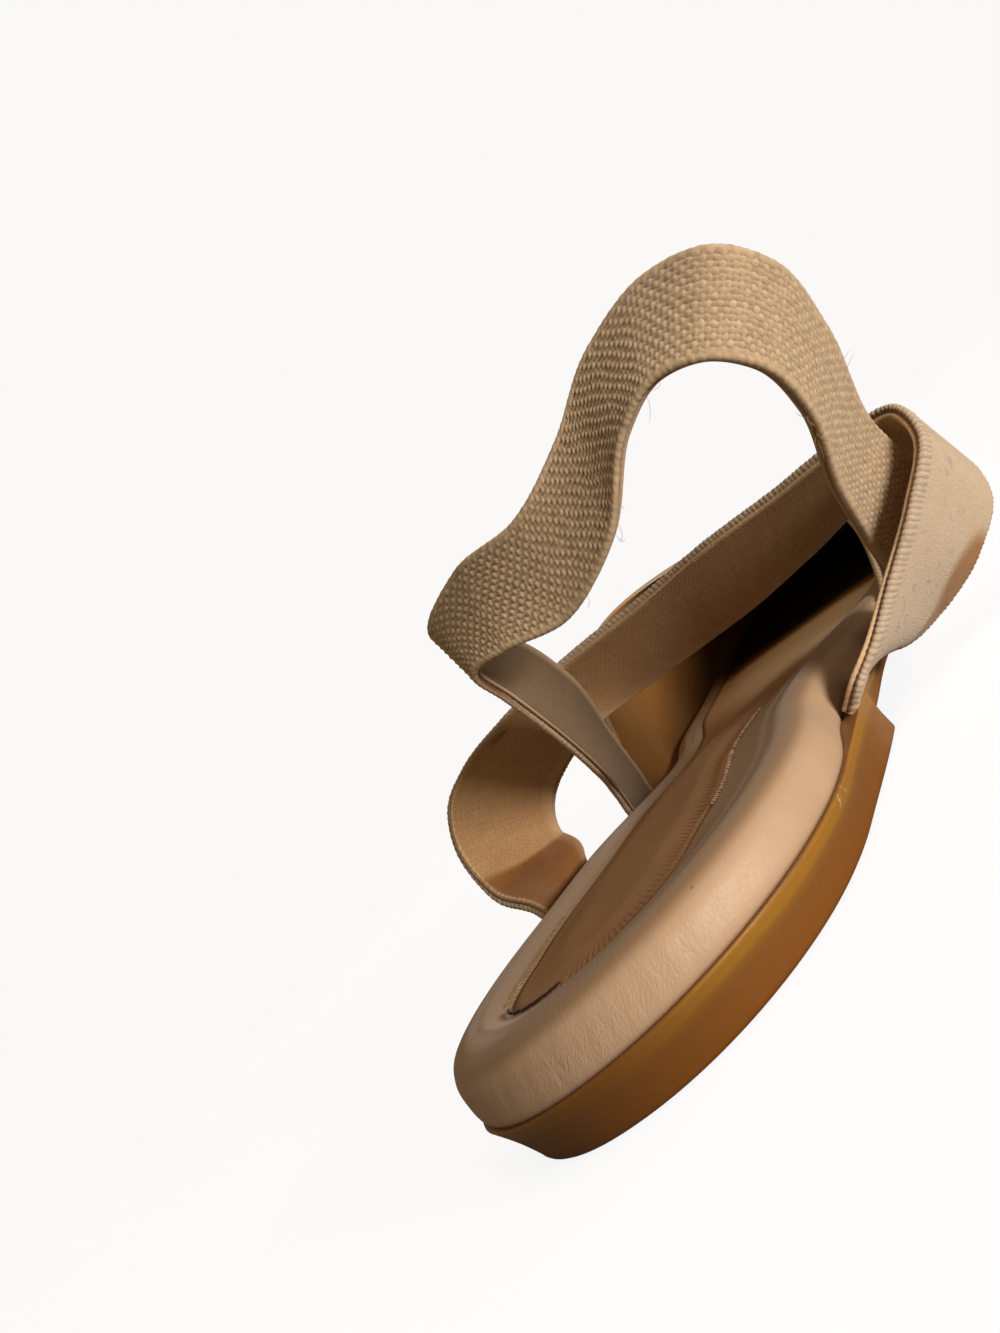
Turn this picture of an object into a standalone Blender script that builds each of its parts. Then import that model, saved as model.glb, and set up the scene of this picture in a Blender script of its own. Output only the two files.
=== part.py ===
"""Right-foot linen sandal flat: rubber outsole, leather footbed, canvas vamp and two webbing straps.

Sizes are in millimetres in the shoe's own frame: x to the wearer's right, y from the back of the
heel to the toe, z up from the floor. The finished parts are shifted so that the origin is the
bottom centre of the whole shoe, and scaled to metres.
"""
import bpy
import bmesh
import numpy as np

MM = 0.001
GAP = 0.3

# Sole outline
LENGTH = 245.0
HEEL_HALF = 29.5
HEEL_DEPTH = 36.0
HEEL_POWER = 2.1
TOE_FROM = 186.0
TOE_POWER = 2.25
TOE_SWING = -5.0

# Half-widths of the outline between heel and toe: distance from heel, inner side, outer side
PLAN = np.array([
    (36.0, 29.5, 29.5),
    (70.0, 28.4, 29.3),
    (100.0, 27.4, 29.8),
    (130.0, 32.8, 36.8),
    (160.0, 41.2, 43.8),
    (186.0, 42.4, 42.8),
])

# Outsole heights
HEEL_RUBBER = 6.9
FORE_RUBBER = 4.2
BREAST = 66.0
WAIST_LIFT = 3.3
SPRING = 8.0
SPRING_FROM = 188.0
HEEL_TAPER = 2.5
BREAST_TAPER = 0.6
FORE_TAPER = 1.0
EDGE_ROUND = 0.8

# Footbed
RIM_HEEL = 7.2
RIM_FORE = 5.0
STRAP_MARGIN = 2.9
VAMP_MARGIN = 3.3
SEAM_BACK = 10.0
SEAM_HEEL = 14.0
SEAM_FORE = 9.0

# Footbed rim from its underside to the sock: inset from its edge, share of the rim height
RIM = np.array([
    (0.9, 0.00),
    (0.2, 0.10),
    (0.0, 0.36),
    (0.4, 0.64),
    (1.7, 0.85),
    (4.0, 0.97),
    (7.0, 1.00),
])
SEAM_LEVEL = 0.70
SOCK_FLOOR = 0.50
SOCK_EDGE = 1.5

# Vamp
VAMP_WALL = 1.7
VAMP_INSET = 1.0
VAMP_REAR = 113.5
VAMP_ROWS = 11
THROAT = 184.0
THROAT_POWER = 2.4
THROAT_SPREAD = 0.14
TOPLINE_REAR = {"inner": 20.0, "outer": 9.0}
TOPLINE_FRONT = 38.0
TOPLINE_INNER = 5.0
TOPLINE_POWER = {"inner": 9.0, "outer": 1.5}
TOE_ROLL = 85.0
REAR_ROLL = 40.0
SIDE_BULGE = 1.3

# Webbing straps
WEB_THICK = 2.0
WEB_COLUMNS = 5
WEB_STEP = 3.2
WEB_INSET = 0.6
RISE = {"inner": 4.5, "outer": 2.0}

# Instep band: rear edge x y z, front edge x y z, from the inner side over to the outer side
BAND_ENDS = {"inner": (60.0, 78.0), "outer": (58.0, 76.0)}
BAND_LEAN = {"inner": 0.6, "outer": 1.5}
BAND = np.array([
    (-34.0, 64.0, 14.5, -28.6, 81.0, 15.0),
    (-41.5, 69.0, 20.0, -31.0, 83.5, 19.0),
    (-43.7, 74.0, 29.8, -29.0, 84.5, 23.0),
    (-41.8, 78.0, 35.7, -27.0, 87.0, 25.0),
    (-36.5, 83.0, 39.2, -22.8, 91.0, 26.7),
    (-26.9, 88.0, 40.5, -16.7, 95.5, 27.3),
    (-11.9, 91.0, 40.1, -8.5, 102.0, 26.3),
    (6.3, 93.0, 38.0, 4.5, 105.0, 24.5),
    (19.9, 93.0, 37.0, 16.5, 105.0, 23.2),
    (33.9, 92.0, 34.9, 29.5, 104.9, 23.0),
    (47.5, 88.0, 33.3, 43.5, 102.9, 23.0),
    (56.0, 84.0, 31.0, 55.6, 99.6, 18.2),
    (56.0, 80.0, 26.5, 55.6, 94.4, 12.6),
    (49.5, 74.0, 20.8, 49.6, 88.8, 7.9),
    (40.5, 67.0, 15.0, 40.3, 84.0, 5.6),
    (35.6, 62.2, 11.8, 35.0, 79.4, 6.1),
])

# Heel sling: lower edge x y z, upper edge x y z, from the inner side back over to the outer side
SLING_ENDS = {"inner": (96.0, 111.0), "outer": (94.0, 109.0)}
SLING_LEAN = {"inner": 0.0, "outer": 1.35}
SLING = np.array([
    (-22.5, 91.5, 16.0, -23.5, 106.0, 16.0),
    (-15.5, 79.0, 22.8, -15.8, 93.0, 25.8),
    (-10.5, 68.0, 31.9, -8.2, 81.5, 38.2),
    (-7.6, 60.0, 40.4, -7.6, 72.8, 49.0),
    (-6.3, 56.0, 45.8, -11.6, 65.3, 56.0),
    (1.0, 54.0, 45.0, 1.6, 59.3, 59.0),
    (11.4, 54.0, 41.8, 14.9, 56.0, 56.9),
    (24.1, 52.7, 44.9, 26.8, 57.4, 59.8),
    (35.0, 52.0, 52.4, 38.5, 59.5, 64.8),
    (42.4, 52.0, 54.0, 49.4, 59.5, 65.2),
    (47.7, 52.5, 51.4, 56.9, 59.0, 61.5),
    (51.0, 55.5, 46.4, 60.2, 63.5, 55.2),
    (50.5, 61.5, 39.0, 58.5, 71.5, 46.0),
    (45.0, 69.5, 29.2, 53.0, 81.0, 33.4),
    (41.1, 79.2, 20.5, 51.3, 91.0, 22.4),
    (37.1, 89.2, 12.5, 43.0, 102.6, 14.6),
])

COLOURS = {
    "outsole": ((0.22, 0.105, 0.03), 0.42),
    "footbed": ((0.66, 0.46, 0.30), 0.38),
    "sock_panel": ((0.50, 0.36, 0.24), 0.50),
    "vamp": ((0.52, 0.38, 0.25), 0.92),
    "instep_band": ((0.50, 0.37, 0.24), 0.92),
    "sling_strap": ((0.50, 0.37, 0.24), 0.92),
}


def ease(low, high, value):
    """Share of the way from low to high, eased at both ends."""
    k = np.clip((value - low) / (high - low), 0.0, 1.0)
    return k * k * (3.0 - 2.0 * k)


def through(at, knots, values):
    """Smooth curve through the values at the knots."""
    slope = np.gradient(values, knots)
    i = np.clip(np.searchsorted(knots, at) - 1, 0, len(knots) - 2)
    h = knots[i + 1] - knots[i]
    t = (at - knots[i]) / h
    start = (2 * t**3 - 3 * t**2 + 1) * values[i] + (t**3 - 2 * t**2 + t) * h * slope[i]
    end = (3 * t**2 - 2 * t**3) * values[i + 1] + (t**3 - t**2) * h * slope[i + 1]
    return start + end


def half_width(y, column):
    """Half-width of the sole at a distance from the heel; column 1 is the inner side, 2 the outer."""
    u = np.clip(1.0 - y / HEEL_DEPTH, 0.0, 1.0)
    heel = HEEL_HALF * (1.0 - u**HEEL_POWER) ** (1.0 / HEEL_POWER)
    middle = through(np.clip(y, HEEL_DEPTH, TOE_FROM), PLAN[:, 0], PLAN[:, column])
    v = np.clip((y - TOE_FROM) / (LENGTH - TOE_FROM), 0.0, 1.0)
    toe = PLAN[-1, column] * (1.0 - v**TOE_POWER) ** (1.0 / TOE_POWER)
    return np.where(y < HEEL_DEPTH, heel, np.where(y > TOE_FROM, toe, middle))


def foot_line(y):
    """Sideways swing of the toe towards the inner side."""
    return TOE_SWING * ease(150.0, LENGTH, y)


def spring(y):
    """Rise of the toe above the floor."""
    return SPRING * np.clip((y - SPRING_FROM) / (LENGTH - SPRING_FROM), 0.0, 1.0) ** 2


def sole_top(y):
    """Height of the outsole's top."""
    return HEEL_RUBBER + (FORE_RUBBER - HEEL_RUBBER) * ease(55.0, 135.0, y) + spring(y)


def sole_bottom(y):
    """Height of the outsole's underside: heel on the floor, lifted waist, forefoot on the floor."""
    waist = np.where(y > BREAST + 0.5, WAIST_LIFT * (1.0 - ease(98.0, 132.0, y)), 0.0)
    return waist + spring(y)


def stations():
    """Distances from the heel, without the two tips, close together at heel and toe."""
    heel = HEEL_DEPTH * (1.0 - np.cos(np.linspace(0.0, np.pi / 2, 10)[1:]))
    to_breast = np.linspace(HEEL_DEPTH, BREAST, 5)[1:]
    waist = np.linspace(BREAST + 1.0, VAMP_REAR, 8)
    ball = np.linspace(VAMP_REAR, TOE_FROM, 11)[1:]
    toe = TOE_FROM + (LENGTH - TOE_FROM) * np.sin(np.linspace(0.0, np.pi / 2, 11)[1:-1])
    return np.concatenate([heel, to_breast, waist, ball, toe])


STATIONS = stations()


def outline():
    """Closed plan outline with outward normals: heel tip, outer side, toe tip, inner side back."""
    y = STATIONS
    outer = np.column_stack([foot_line(y) + half_width(y, 2), y])
    inner = np.column_stack([foot_line(y) - half_width(y, 1), y])
    toe = np.array([[TOE_SWING, LENGTH]])
    ring = np.concatenate([[[0.0, 0.0]], outer, toe, inner[::-1]])
    along = np.roll(ring, -1, axis=0) - np.roll(ring, 1, axis=0)
    normal = np.column_stack([along[:, 1], -along[:, 0]])
    normal /= np.linalg.norm(normal, axis=1)[:, None]
    return ring, normal


RING, NORMAL = outline()
RING_Y = RING[:, 1]


def ring_at(inset, height):
    """The outline moved inwards by an inset and set at a height, each a number or one per point."""
    plan = RING - NORMAL * np.broadcast_to(inset, RING_Y.shape)[:, None]
    return np.column_stack([plan, np.broadcast_to(height, RING_Y.shape)])


def ladder(first, count):
    """Faces across a ring whose two sides have the same stations."""
    m = len(STATIONS)
    right = first + np.arange(1, m + 1)
    left = first + count - np.arange(1, m + 1)
    faces = [(first, right[0], left[0]), (right[-1], first + m + 1, left[-1])]
    faces += [(right[i], right[i + 1], left[i + 1], left[i]) for i in range(m - 1)]
    return faces


def stack(rings):
    """Closed solid from rings stacked over each other, with a cap on the first and last."""
    n = len(rings[0])
    faces = []
    for k in range(len(rings) - 1):
        a, b = k * n, (k + 1) * n
        faces += [(a + i, a + (i + 1) % n, b + (i + 1) % n, b + i) for i in range(n)]
    faces += ladder(0, n) + ladder((len(rings) - 1) * n, n)
    return np.concatenate(rings), faces


def skin(outer, inner):
    """Closed solid between two grids of the same size."""
    rows, cols = outer.shape[:2]
    n = rows * cols
    at = np.arange(n).reshape(rows, cols)
    faces = []
    for i in range(rows - 1):
        for j in range(cols - 1):
            quad = (at[i, j], at[i + 1, j], at[i + 1, j + 1], at[i, j + 1])
            faces.append(quad)
            faces.append(tuple(n + q for q in quad[::-1]))
    border = list(at[0, :]) + list(at[1:, -1]) + list(at[-1, -2::-1]) + list(at[-2:0:-1, 0])
    for a, b in zip(border, border[1:] + border[:1]):
        faces.append((a, b, b + n, a + n))
    return np.concatenate([outer.reshape(-1, 3), inner.reshape(-1, 3)]), faces


def grid_normals(grid):
    """Unit normals of a grid of points."""
    along = np.gradient(grid, axis=0)
    across = np.gradient(grid, axis=1)
    normal = np.cross(along, across)
    return normal / np.linalg.norm(normal, axis=2)[:, :, None]


def outsole():
    """Rubber unit: tapered side with a rounded lower edge, from the underside up to the top."""
    heel = HEEL_TAPER + (BREAST_TAPER - HEEL_TAPER) * ease(25.0, BREAST, RING_Y)
    taper = np.where(RING_Y < BREAST + 0.5, heel, FORE_TAPER)
    low = sole_bottom(RING_Y)
    top = sole_top(RING_Y)
    return stack([
        ring_at(taper + EDGE_ROUND, low),
        ring_at(taper, low + EDGE_ROUND),
        ring_at(0.0, top - EDGE_ROUND),
        ring_at(0.4, top),
    ])


def footbed_inset():
    """Inset of the footbed from the sole's edge: flush at the heel, a margin under straps and vamp."""
    straps = 0.3 + (STRAP_MARGIN - 0.3) * ease(48.0, 57.0, RING_Y)
    return straps + (VAMP_MARGIN - STRAP_MARGIN) * ease(104.0, 116.0, RING_Y)


def rim_height():
    """Height of the footbed's rim."""
    return RIM_HEEL + (RIM_FORE - RIM_HEEL) * ease(60.0, 140.0, RING_Y)


def seam_inset():
    """Distance of the sock's seam from the footbed's edge."""
    heel = SEAM_BACK + (SEAM_HEEL - SEAM_BACK) * ease(4.0, 30.0, RING_Y)
    return heel + (SEAM_FORE - SEAM_HEEL) * ease(60.0, 130.0, RING_Y)


def footbed():
    """Padded board: rolled rim, slope down to the seam, sunken floor for the sock."""
    base = sole_top(RING_Y) + GAP
    edge = footbed_inset()
    tall = rim_height()
    rings = [ring_at(edge + inset, base + share * tall) for inset, share in RIM]
    seam = edge + seam_inset()
    slope = edge + RIM[-1, 0] + 0.55 * (seam_inset() - RIM[-1, 0])
    rings.append(ring_at(slope, base + 0.5 * (1.0 + SEAM_LEVEL) * tall))
    rings.append(ring_at(seam, base + SEAM_LEVEL * tall))
    rings.append(ring_at(seam + 0.05, base + SOCK_FLOOR * tall))
    return stack(rings)


def sock_panel():
    """Thin padded sock lying in the footbed's floor."""
    floor = sole_top(RING_Y) + GAP + SOCK_FLOOR * rim_height() + GAP
    level = sole_top(RING_Y) + GAP + SEAM_LEVEL * rim_height()
    edge = footbed_inset() + seam_inset() + 0.05 + GAP
    return stack([
        ring_at(edge, floor),
        ring_at(edge, level - 0.25),
        ring_at(edge + SOCK_EDGE, level + 0.1),
    ])


def vamp():
    """Hollow toe: the wall rises from the sole's edge and rolls over to the throat line."""
    keep = RING_Y >= VAMP_REAR - 0.01
    plan = RING[keep] - VAMP_INSET * NORMAL[keep]
    out = NORMAL[keep]
    foot = np.column_stack([plan, sole_top(RING_Y[keep]) + GAP])
    step = np.linalg.norm(np.diff(plan, axis=0), axis=1)
    run = np.concatenate([[0.0], np.cumsum(step)])
    tip = int(np.argmax(RING_Y[keep]))
    outer_side = run <= run[tip]
    share = np.where(outer_side, 1.0 - run / run[tip], (run - run[tip]) / (run[-1] - run[tip]))
    turn = 0.5 * np.pi * (1.0 - share)
    wide = np.where(outer_side, abs(plan[0, 0]), abs(plan[-1, 0])) - 1.0
    side = np.where(outer_side, 1.0, -1.0)
    back = np.sin(turn) ** (2.0 / THROAT_POWER)
    spread = 1.0 + THROAT_SPREAD * np.sin(2.0 * turn)
    top_x = side * wide * spread * np.cos(turn) ** (2.0 / THROAT_POWER) + 0.6 * TOE_SWING * back
    top_y = plan[0, 1] + (THROAT - plan[0, 1]) * back
    rear = np.where(outer_side, TOPLINE_REAR["outer"], TOPLINE_REAR["inner"])
    power = np.where(outer_side, TOPLINE_POWER["outer"], TOPLINE_POWER["inner"])
    top_z = rear + (TOPLINE_FRONT - rear) * (1.0 - share**power)
    top_z = top_z + np.where(outer_side, 0.0, TOPLINE_INNER) * np.sin(2.0 * turn)
    top = np.column_stack([top_x, top_y, top_z])
    roll = np.radians(TOE_ROLL + (REAR_ROLL - TOE_ROLL) * share**1.5)
    t = np.linspace(0.0, 1.0, VAMP_ROWS)[None, :]
    angle = roll[:, None] * t
    inward = (1.0 - np.cos(angle)) / (1.0 - np.cos(roll))[:, None]
    upward = (np.sin(angle) / np.sin(roll)[:, None]) ** 0.9
    grid = np.empty((len(foot), VAMP_ROWS, 3))
    span = top - foot
    grid[:, :, 0] = foot[:, 0, None] + span[:, 0, None] * inward
    grid[:, :, 1] = foot[:, 1, None] + span[:, 1, None] * inward
    grid[:, :, 2] = foot[:, 2, None] + span[:, 2, None] * upward
    bulge = SIDE_BULGE * np.sin(np.pi * t) * (0.3 + 0.7 * share[:, None])
    grid[:, :, :2] += out[:, None, :] * bulge[:, :, None]
    normal = grid_normals(grid)
    facing = np.sign((normal[:, 0, :2] * out).sum(axis=1))
    inner = grid - VAMP_WALL * normal * facing[:, None, None]
    inner[:, 0, :2] = grid[:, 0, :2] - VAMP_WALL * out
    inner[:, 0, 2] = grid[:, 0, 2]
    return skin(grid, inner)


def standing(side, ends, rise, lean):
    """Two rows where a strap stands on the sole's margin: its foot, and a line above it that leans out."""
    y = np.array(ends)
    column, sign = (1, -1.0) if side == "inner" else (2, 1.0)
    x = sign * (half_width(y, column) - WEB_INSET - 0.5 * WEB_THICK)
    z = sole_top(y) + GAP
    low = np.column_stack([x, y, z]).ravel()
    high = np.column_stack([x + sign * lean * rise, y, z + rise]).ravel()
    return low, high


def strap(table, ends, lean):
    """Webbing through the table's edges, standing on the sole at both ends."""
    low_in, high_in = standing("inner", ends["inner"], RISE["inner"], lean["inner"])
    low_out, high_out = standing("outer", ends["outer"], RISE["outer"], lean["outer"])
    rows = np.vstack([low_in, high_in, table, high_out, low_out])
    middle = 0.5 * (rows[:, :3] + rows[:, 3:])
    run = np.concatenate([[0.0], np.cumsum(np.linalg.norm(np.diff(middle, axis=0), axis=1))])
    cuts = [run[0], run[1]]
    cuts += list(np.linspace(run[1], run[-2], int((run[-2] - run[1]) / WEB_STEP) + 1)[1:])
    cuts += [run[-1]]
    cuts = np.array(cuts)
    edges = np.column_stack([through(cuts, run, rows[:, c]) for c in range(6)])
    edges[0], edges[1], edges[-2], edges[-1] = rows[0], rows[1], rows[-2], rows[-1]
    t = np.linspace(0.0, 1.0, WEB_COLUMNS)[None, :, None]
    grid = edges[:, None, :3] * (1.0 - t) + edges[:, None, 3:] * t
    normal = grid_normals(grid)
    flat = np.zeros(3)
    flat[0] = np.sign(normal[0, 0, 0])
    normal[0] = flat
    flat_out = np.zeros(3)
    flat_out[0] = np.sign(normal[-1, 0, 0])
    normal[-1] = flat_out
    return skin(grid + 0.5 * WEB_THICK * normal, grid - 0.5 * WEB_THICK * normal)


def make(name, points, faces):
    """One named object with its own material, in metres."""
    mesh = bpy.data.meshes.new(name)
    mesh.from_pydata([tuple(p) for p in points * MM], [], [tuple(int(i) for i in f) for f in faces])
    work = bmesh.new()
    work.from_mesh(mesh)
    bmesh.ops.recalc_face_normals(work, faces=work.faces)
    bmesh.ops.triangulate(work, faces=work.faces)
    work.to_mesh(mesh)
    work.free()
    colour, rough = COLOURS[name]
    material = bpy.data.materials.new(name)
    material.use_nodes = True
    shader = material.node_tree.nodes["Principled BSDF"]
    shader.inputs["Base Color"].default_value = (*colour, 1.0)
    shader.inputs["Roughness"].default_value = rough
    shader.inputs["Metallic"].default_value = 0.0
    mesh.materials.append(material)
    obj = bpy.data.objects.new(name, mesh)
    bpy.context.collection.objects.link(obj)
    return obj


for old in list(bpy.data.objects):
    bpy.data.objects.remove(old, do_unlink=True)

PARTS = {
    "outsole": outsole(),
    "footbed": footbed(),
    "sock_panel": sock_panel(),
    "vamp": vamp(),
    "instep_band": strap(BAND, BAND_ENDS, BAND_LEAN),
    "sling_strap": strap(SLING, SLING_ENDS, SLING_LEAN),
}
EVERY = np.concatenate([points for points, faces in PARTS.values()])
SHIFT = -0.5 * (EVERY.min(axis=0) + EVERY.max(axis=0))
SHIFT[2] = 0.0
for part, (points, faces) in PARTS.items():
    make(part, points + SHIFT, faces)
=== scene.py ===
"""Looks of a right-foot linen flat with a heel sling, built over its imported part.

Sizes are millimetres in the shoe's own frame: x to the wearer's right, y from the back of the heel
to the toe, z up from the floor. Every mesh is carried from there to the part's frame in metres.
"""

import bpy
import numpy as np
from mathutils import Matrix, Vector


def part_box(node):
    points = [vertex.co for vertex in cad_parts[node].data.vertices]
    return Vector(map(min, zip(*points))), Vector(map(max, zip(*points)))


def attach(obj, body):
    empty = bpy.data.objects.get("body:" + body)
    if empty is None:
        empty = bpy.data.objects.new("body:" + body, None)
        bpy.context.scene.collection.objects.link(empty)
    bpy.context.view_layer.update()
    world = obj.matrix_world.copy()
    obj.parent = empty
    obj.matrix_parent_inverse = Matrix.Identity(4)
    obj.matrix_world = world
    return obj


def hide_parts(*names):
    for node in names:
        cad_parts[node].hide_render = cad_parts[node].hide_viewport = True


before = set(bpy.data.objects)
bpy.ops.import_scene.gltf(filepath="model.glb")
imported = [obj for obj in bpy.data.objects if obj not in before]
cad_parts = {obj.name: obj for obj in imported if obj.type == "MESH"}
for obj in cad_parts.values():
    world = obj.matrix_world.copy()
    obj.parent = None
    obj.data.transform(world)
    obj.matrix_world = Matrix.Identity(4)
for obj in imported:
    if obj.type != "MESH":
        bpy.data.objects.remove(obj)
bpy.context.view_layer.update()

# Camera
# The photograph's own view: close behind the right heel, low over the floor and rolled to the right.
# The axes' columns are the picture's right, its up, and the way back from the shoe.
CAMERA_AT = (0.06162, -0.20659, 0.03326)
CAMERA_AXES = Matrix((
    (0.6074, 0.6483, 0.4592),
    (0.3715, 0.2792, -0.8855),
    (-0.7022, 0.7084, -0.0713),
))
SENSOR_WIDTH = 36.0
FOCAL_SHARE = 1.1

camera = bpy.data.objects.new("camera", bpy.data.cameras.new("camera"))
camera.data.sensor_fit = "HORIZONTAL"
camera.data.sensor_width = SENSOR_WIDTH
camera.data.lens = SENSOR_WIDTH * FOCAL_SHARE
camera.data.clip_start = 0.005
camera.matrix_world = Matrix.Translation(CAMERA_AT) @ CAMERA_AXES.to_4x4()
bpy.context.collection.objects.link(camera)
bpy.context.scene.camera = camera

# Floor, background and light
# A pale floor that runs into a pale background, one soft light low on the outer side, as in the
# photograph, and a weaker, browner light from all round.
FLOOR_HALF = 5.0
FLOOR_LEVEL = -0.0002
FLOOR_COLOUR = np.array((0.40, 0.41, 0.42))
BACKGROUND = np.array((0.955, 0.945, 0.932))
FILL = np.array((1.0, 0.74, 0.46))
FILL_STRENGTH = 0.235
KEY_COLOUR = (1.0, 0.90, 0.80)
KEY_AT = (0.74, -0.36, 0.07)
KEY_AIM = (0.0, -0.03, 0.03)
KEY_SIZE = (0.46, 0.10)
KEY_WATTS = 6.5
# What the floor adds of its own so that it runs into the background with no line
FLOOR_GLOW = BACKGROUND - FLOOR_COLOUR * FILL * FILL_STRENGTH


def put(tree, kind, inputs=(), **settings):
    """New node with its settings, and a value or a link for each named or numbered input."""
    made = tree.nodes.new(kind)
    for key, value in settings.items():
        setattr(made, key, value)
    for key, value in dict(inputs).items():
        if isinstance(value, bpy.types.NodeSocket):
            tree.links.new(value, made.inputs[key])
        else:
            made.inputs[key].default_value = value
    return made


def new_material(name, **constants):
    """Material with a Principled shader; constants are the shader's own sockets."""
    material = bpy.data.materials.new(name)
    material.use_nodes = True
    shader = material.node_tree.nodes["Principled BSDF"]
    for key, value in constants.items():
        shader.inputs[key.replace("_", " ")].default_value = value
    return material, material.node_tree, shader


def softbox(name, at, aim, size, watts, colour):
    """Oblong area light at a place, turned to a point; size is its width and height."""
    light = bpy.data.lights.new(name, "AREA")
    light.shape = "RECTANGLE"
    light.size, light.size_y = size
    light.energy = watts
    light.color = colour
    lamp = bpy.data.objects.new(name, light)
    lamp.location = at
    lamp.rotation_euler = (Vector(aim) - Vector(at)).to_track_quat("-Z", "Y").to_euler()
    lamp.visible_camera = False
    bpy.context.collection.objects.link(lamp)


floor_mesh = bpy.data.meshes.new("floor")
floor_corners = ((-1.0, -1.0), (1.0, -1.0), (1.0, 1.0), (-1.0, 1.0))
floor_mesh.from_pydata(
    [(x * FLOOR_HALF, y * FLOOR_HALF, FLOOR_LEVEL) for x, y in floor_corners], [], [(0, 1, 2, 3)],
)
floor_material, floor_tree, floor_shader = new_material(
    "floor", Base_Color=(*FLOOR_COLOUR, 1.0), Roughness=0.9, Emission_Color=(*FLOOR_GLOW, 1.0),
)
floor_seen = put(floor_tree, "ShaderNodeLightPath").outputs["Is Camera Ray"]
floor_tree.links.new(floor_seen, floor_shader.inputs["Emission Strength"])
floor_mesh.materials.append(floor_material)
floor = bpy.data.objects.new("floor", floor_mesh)
bpy.context.collection.objects.link(floor)

world = bpy.data.worlds.new("studio")
bpy.context.scene.world = world
world.use_nodes = True
world.node_tree.nodes.clear()
seen = put(world.node_tree, "ShaderNodeLightPath").outputs["Is Camera Ray"]
fill = put(world.node_tree, "ShaderNodeBackground", {"Color": (*FILL, 1.0), "Strength": FILL_STRENGTH})
plain = put(world.node_tree, "ShaderNodeBackground", {"Color": (*BACKGROUND, 1.0)})
both = put(world.node_tree, "ShaderNodeMixShader", {
    0: seen, 1: fill.outputs[0], 2: plain.outputs[0],
})
put(world.node_tree, "ShaderNodeOutputWorld", {"Surface": both.outputs[0]})
softbox("key", KEY_AT, KEY_AIM, KEY_SIZE, KEY_WATTS, KEY_COLOUR)
bpy.context.scene.view_settings.view_transform = "Standard"

# Outsole
# Brown gum rubber with a clear amber band under the footbed: heel block with a step at its breast,
# lifted waist, flat forefoot and toe spring.
LENGTH = 245.0
HEEL_HALF = 29.5
HEEL_DEPTH = 36.0
HEEL_POWER = 2.1
TOE_FROM = 186.0
TOE_POWER = 2.25
TOE_SWING = -5.0
HEEL_RUBBER = 6.9
FORE_RUBBER = 4.2
BREAST = 66.0
WAIST_LIFT = 3.3
SPRING = 8.0
SPRING_FROM = 188.0
HEEL_TAPER = 2.5
BREAST_TAPER = 0.6
FORE_TAPER = 1.0
EDGE_ROUND = 0.8
TOP_ROUND = 0.25
SIDE_HOLLOW = 0.18
LOW_SHARE = 0.10
TOP_SHARE = 0.04
VAMP_REAR = 113.5
# Half-widths between heel and toe: distance from heel, inner side, outer side
PLAN = np.array([
    (36.0, 29.5, 29.5),
    (70.0, 28.4, 29.3),
    (100.0, 27.4, 29.8),
    (130.0, 32.8, 36.8),
    (160.0, 41.2, 43.8),
    (186.0, 42.4, 42.8),
])
# Colour up the rubber's side: share of its height, red, green, blue
RUBBER_SIDE = (
    (0.00, 0.200, 0.066, 0.004),
    (0.20, 0.225, 0.080, 0.009),
    (0.58, 0.230, 0.093, 0.017),
    (0.70, 0.270, 0.118, 0.020),
    (0.78, 0.365, 0.172, 0.018),
    (0.95, 0.380, 0.180, 0.022),
    (1.00, 0.240, 0.100, 0.018),
)
RUBBER_BROWN = (0.215, 0.082, 0.013)
RUBBER_DUST = (0.42, 0.24, 0.125)
RUBBER_NICK = (0.86, 0.70, 0.48)
# Pale nicks: distance from the heel's tip along the edge, spread, share of the height, spread
NICK_AT, NICK_LONG, NICK_RISE, NICK_TALL = 47.0, 2.4, 0.88, 0.07


def ease(low, high, value):
    """Share of the way from low to high, eased at both ends."""
    k = np.clip((value - low) / (high - low), 0.0, 1.0)
    return k * k * (3.0 - 2.0 * k)


def through(at, knots, values):
    """Smooth curve through the values at the knots: cubic pieces that share their slopes."""
    slope = np.gradient(values, knots)
    i = np.clip(np.searchsorted(knots, at) - 1, 0, len(knots) - 2)
    h = knots[i + 1] - knots[i]
    t = (at - knots[i]) / h
    start = (2 * t**3 - 3 * t**2 + 1) * values[i] + (t**3 - 2 * t**2 + t) * h * slope[i]
    end = (3 * t**2 - 2 * t**3) * values[i + 1] + (t**3 - t**2) * h * slope[i + 1]
    return start + end


def half_width(y, column):
    """Half-width of the sole: superellipse heel, smooth middle, superellipse toe; column 1 inner, 2 outer."""
    u = np.clip(1.0 - y / HEEL_DEPTH, 0.0, 1.0)
    heel = HEEL_HALF * (1.0 - u**HEEL_POWER) ** (1.0 / HEEL_POWER)
    middle = through(np.clip(y, HEEL_DEPTH, TOE_FROM), PLAN[:, 0], PLAN[:, column])
    v = np.clip((y - TOE_FROM) / (LENGTH - TOE_FROM), 0.0, 1.0)
    toe = PLAN[-1, column] * (1.0 - v**TOE_POWER) ** (1.0 / TOE_POWER)
    return np.where(y < HEEL_DEPTH, heel, np.where(y > TOE_FROM, toe, middle))


def foot_line(y):
    """Sideways swing of the toe towards the inner side."""
    return TOE_SWING * ease(150.0, LENGTH, y)


def spring(y):
    """Rise of the toe above the floor, growing with the square of the distance."""
    return SPRING * np.clip((y - SPRING_FROM) / (LENGTH - SPRING_FROM), 0.0, 1.0) ** 2


def sole_top(y):
    """Height of the outsole's top."""
    return HEEL_RUBBER + (FORE_RUBBER - HEEL_RUBBER) * ease(55.0, 135.0, y) + spring(y)


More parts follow.
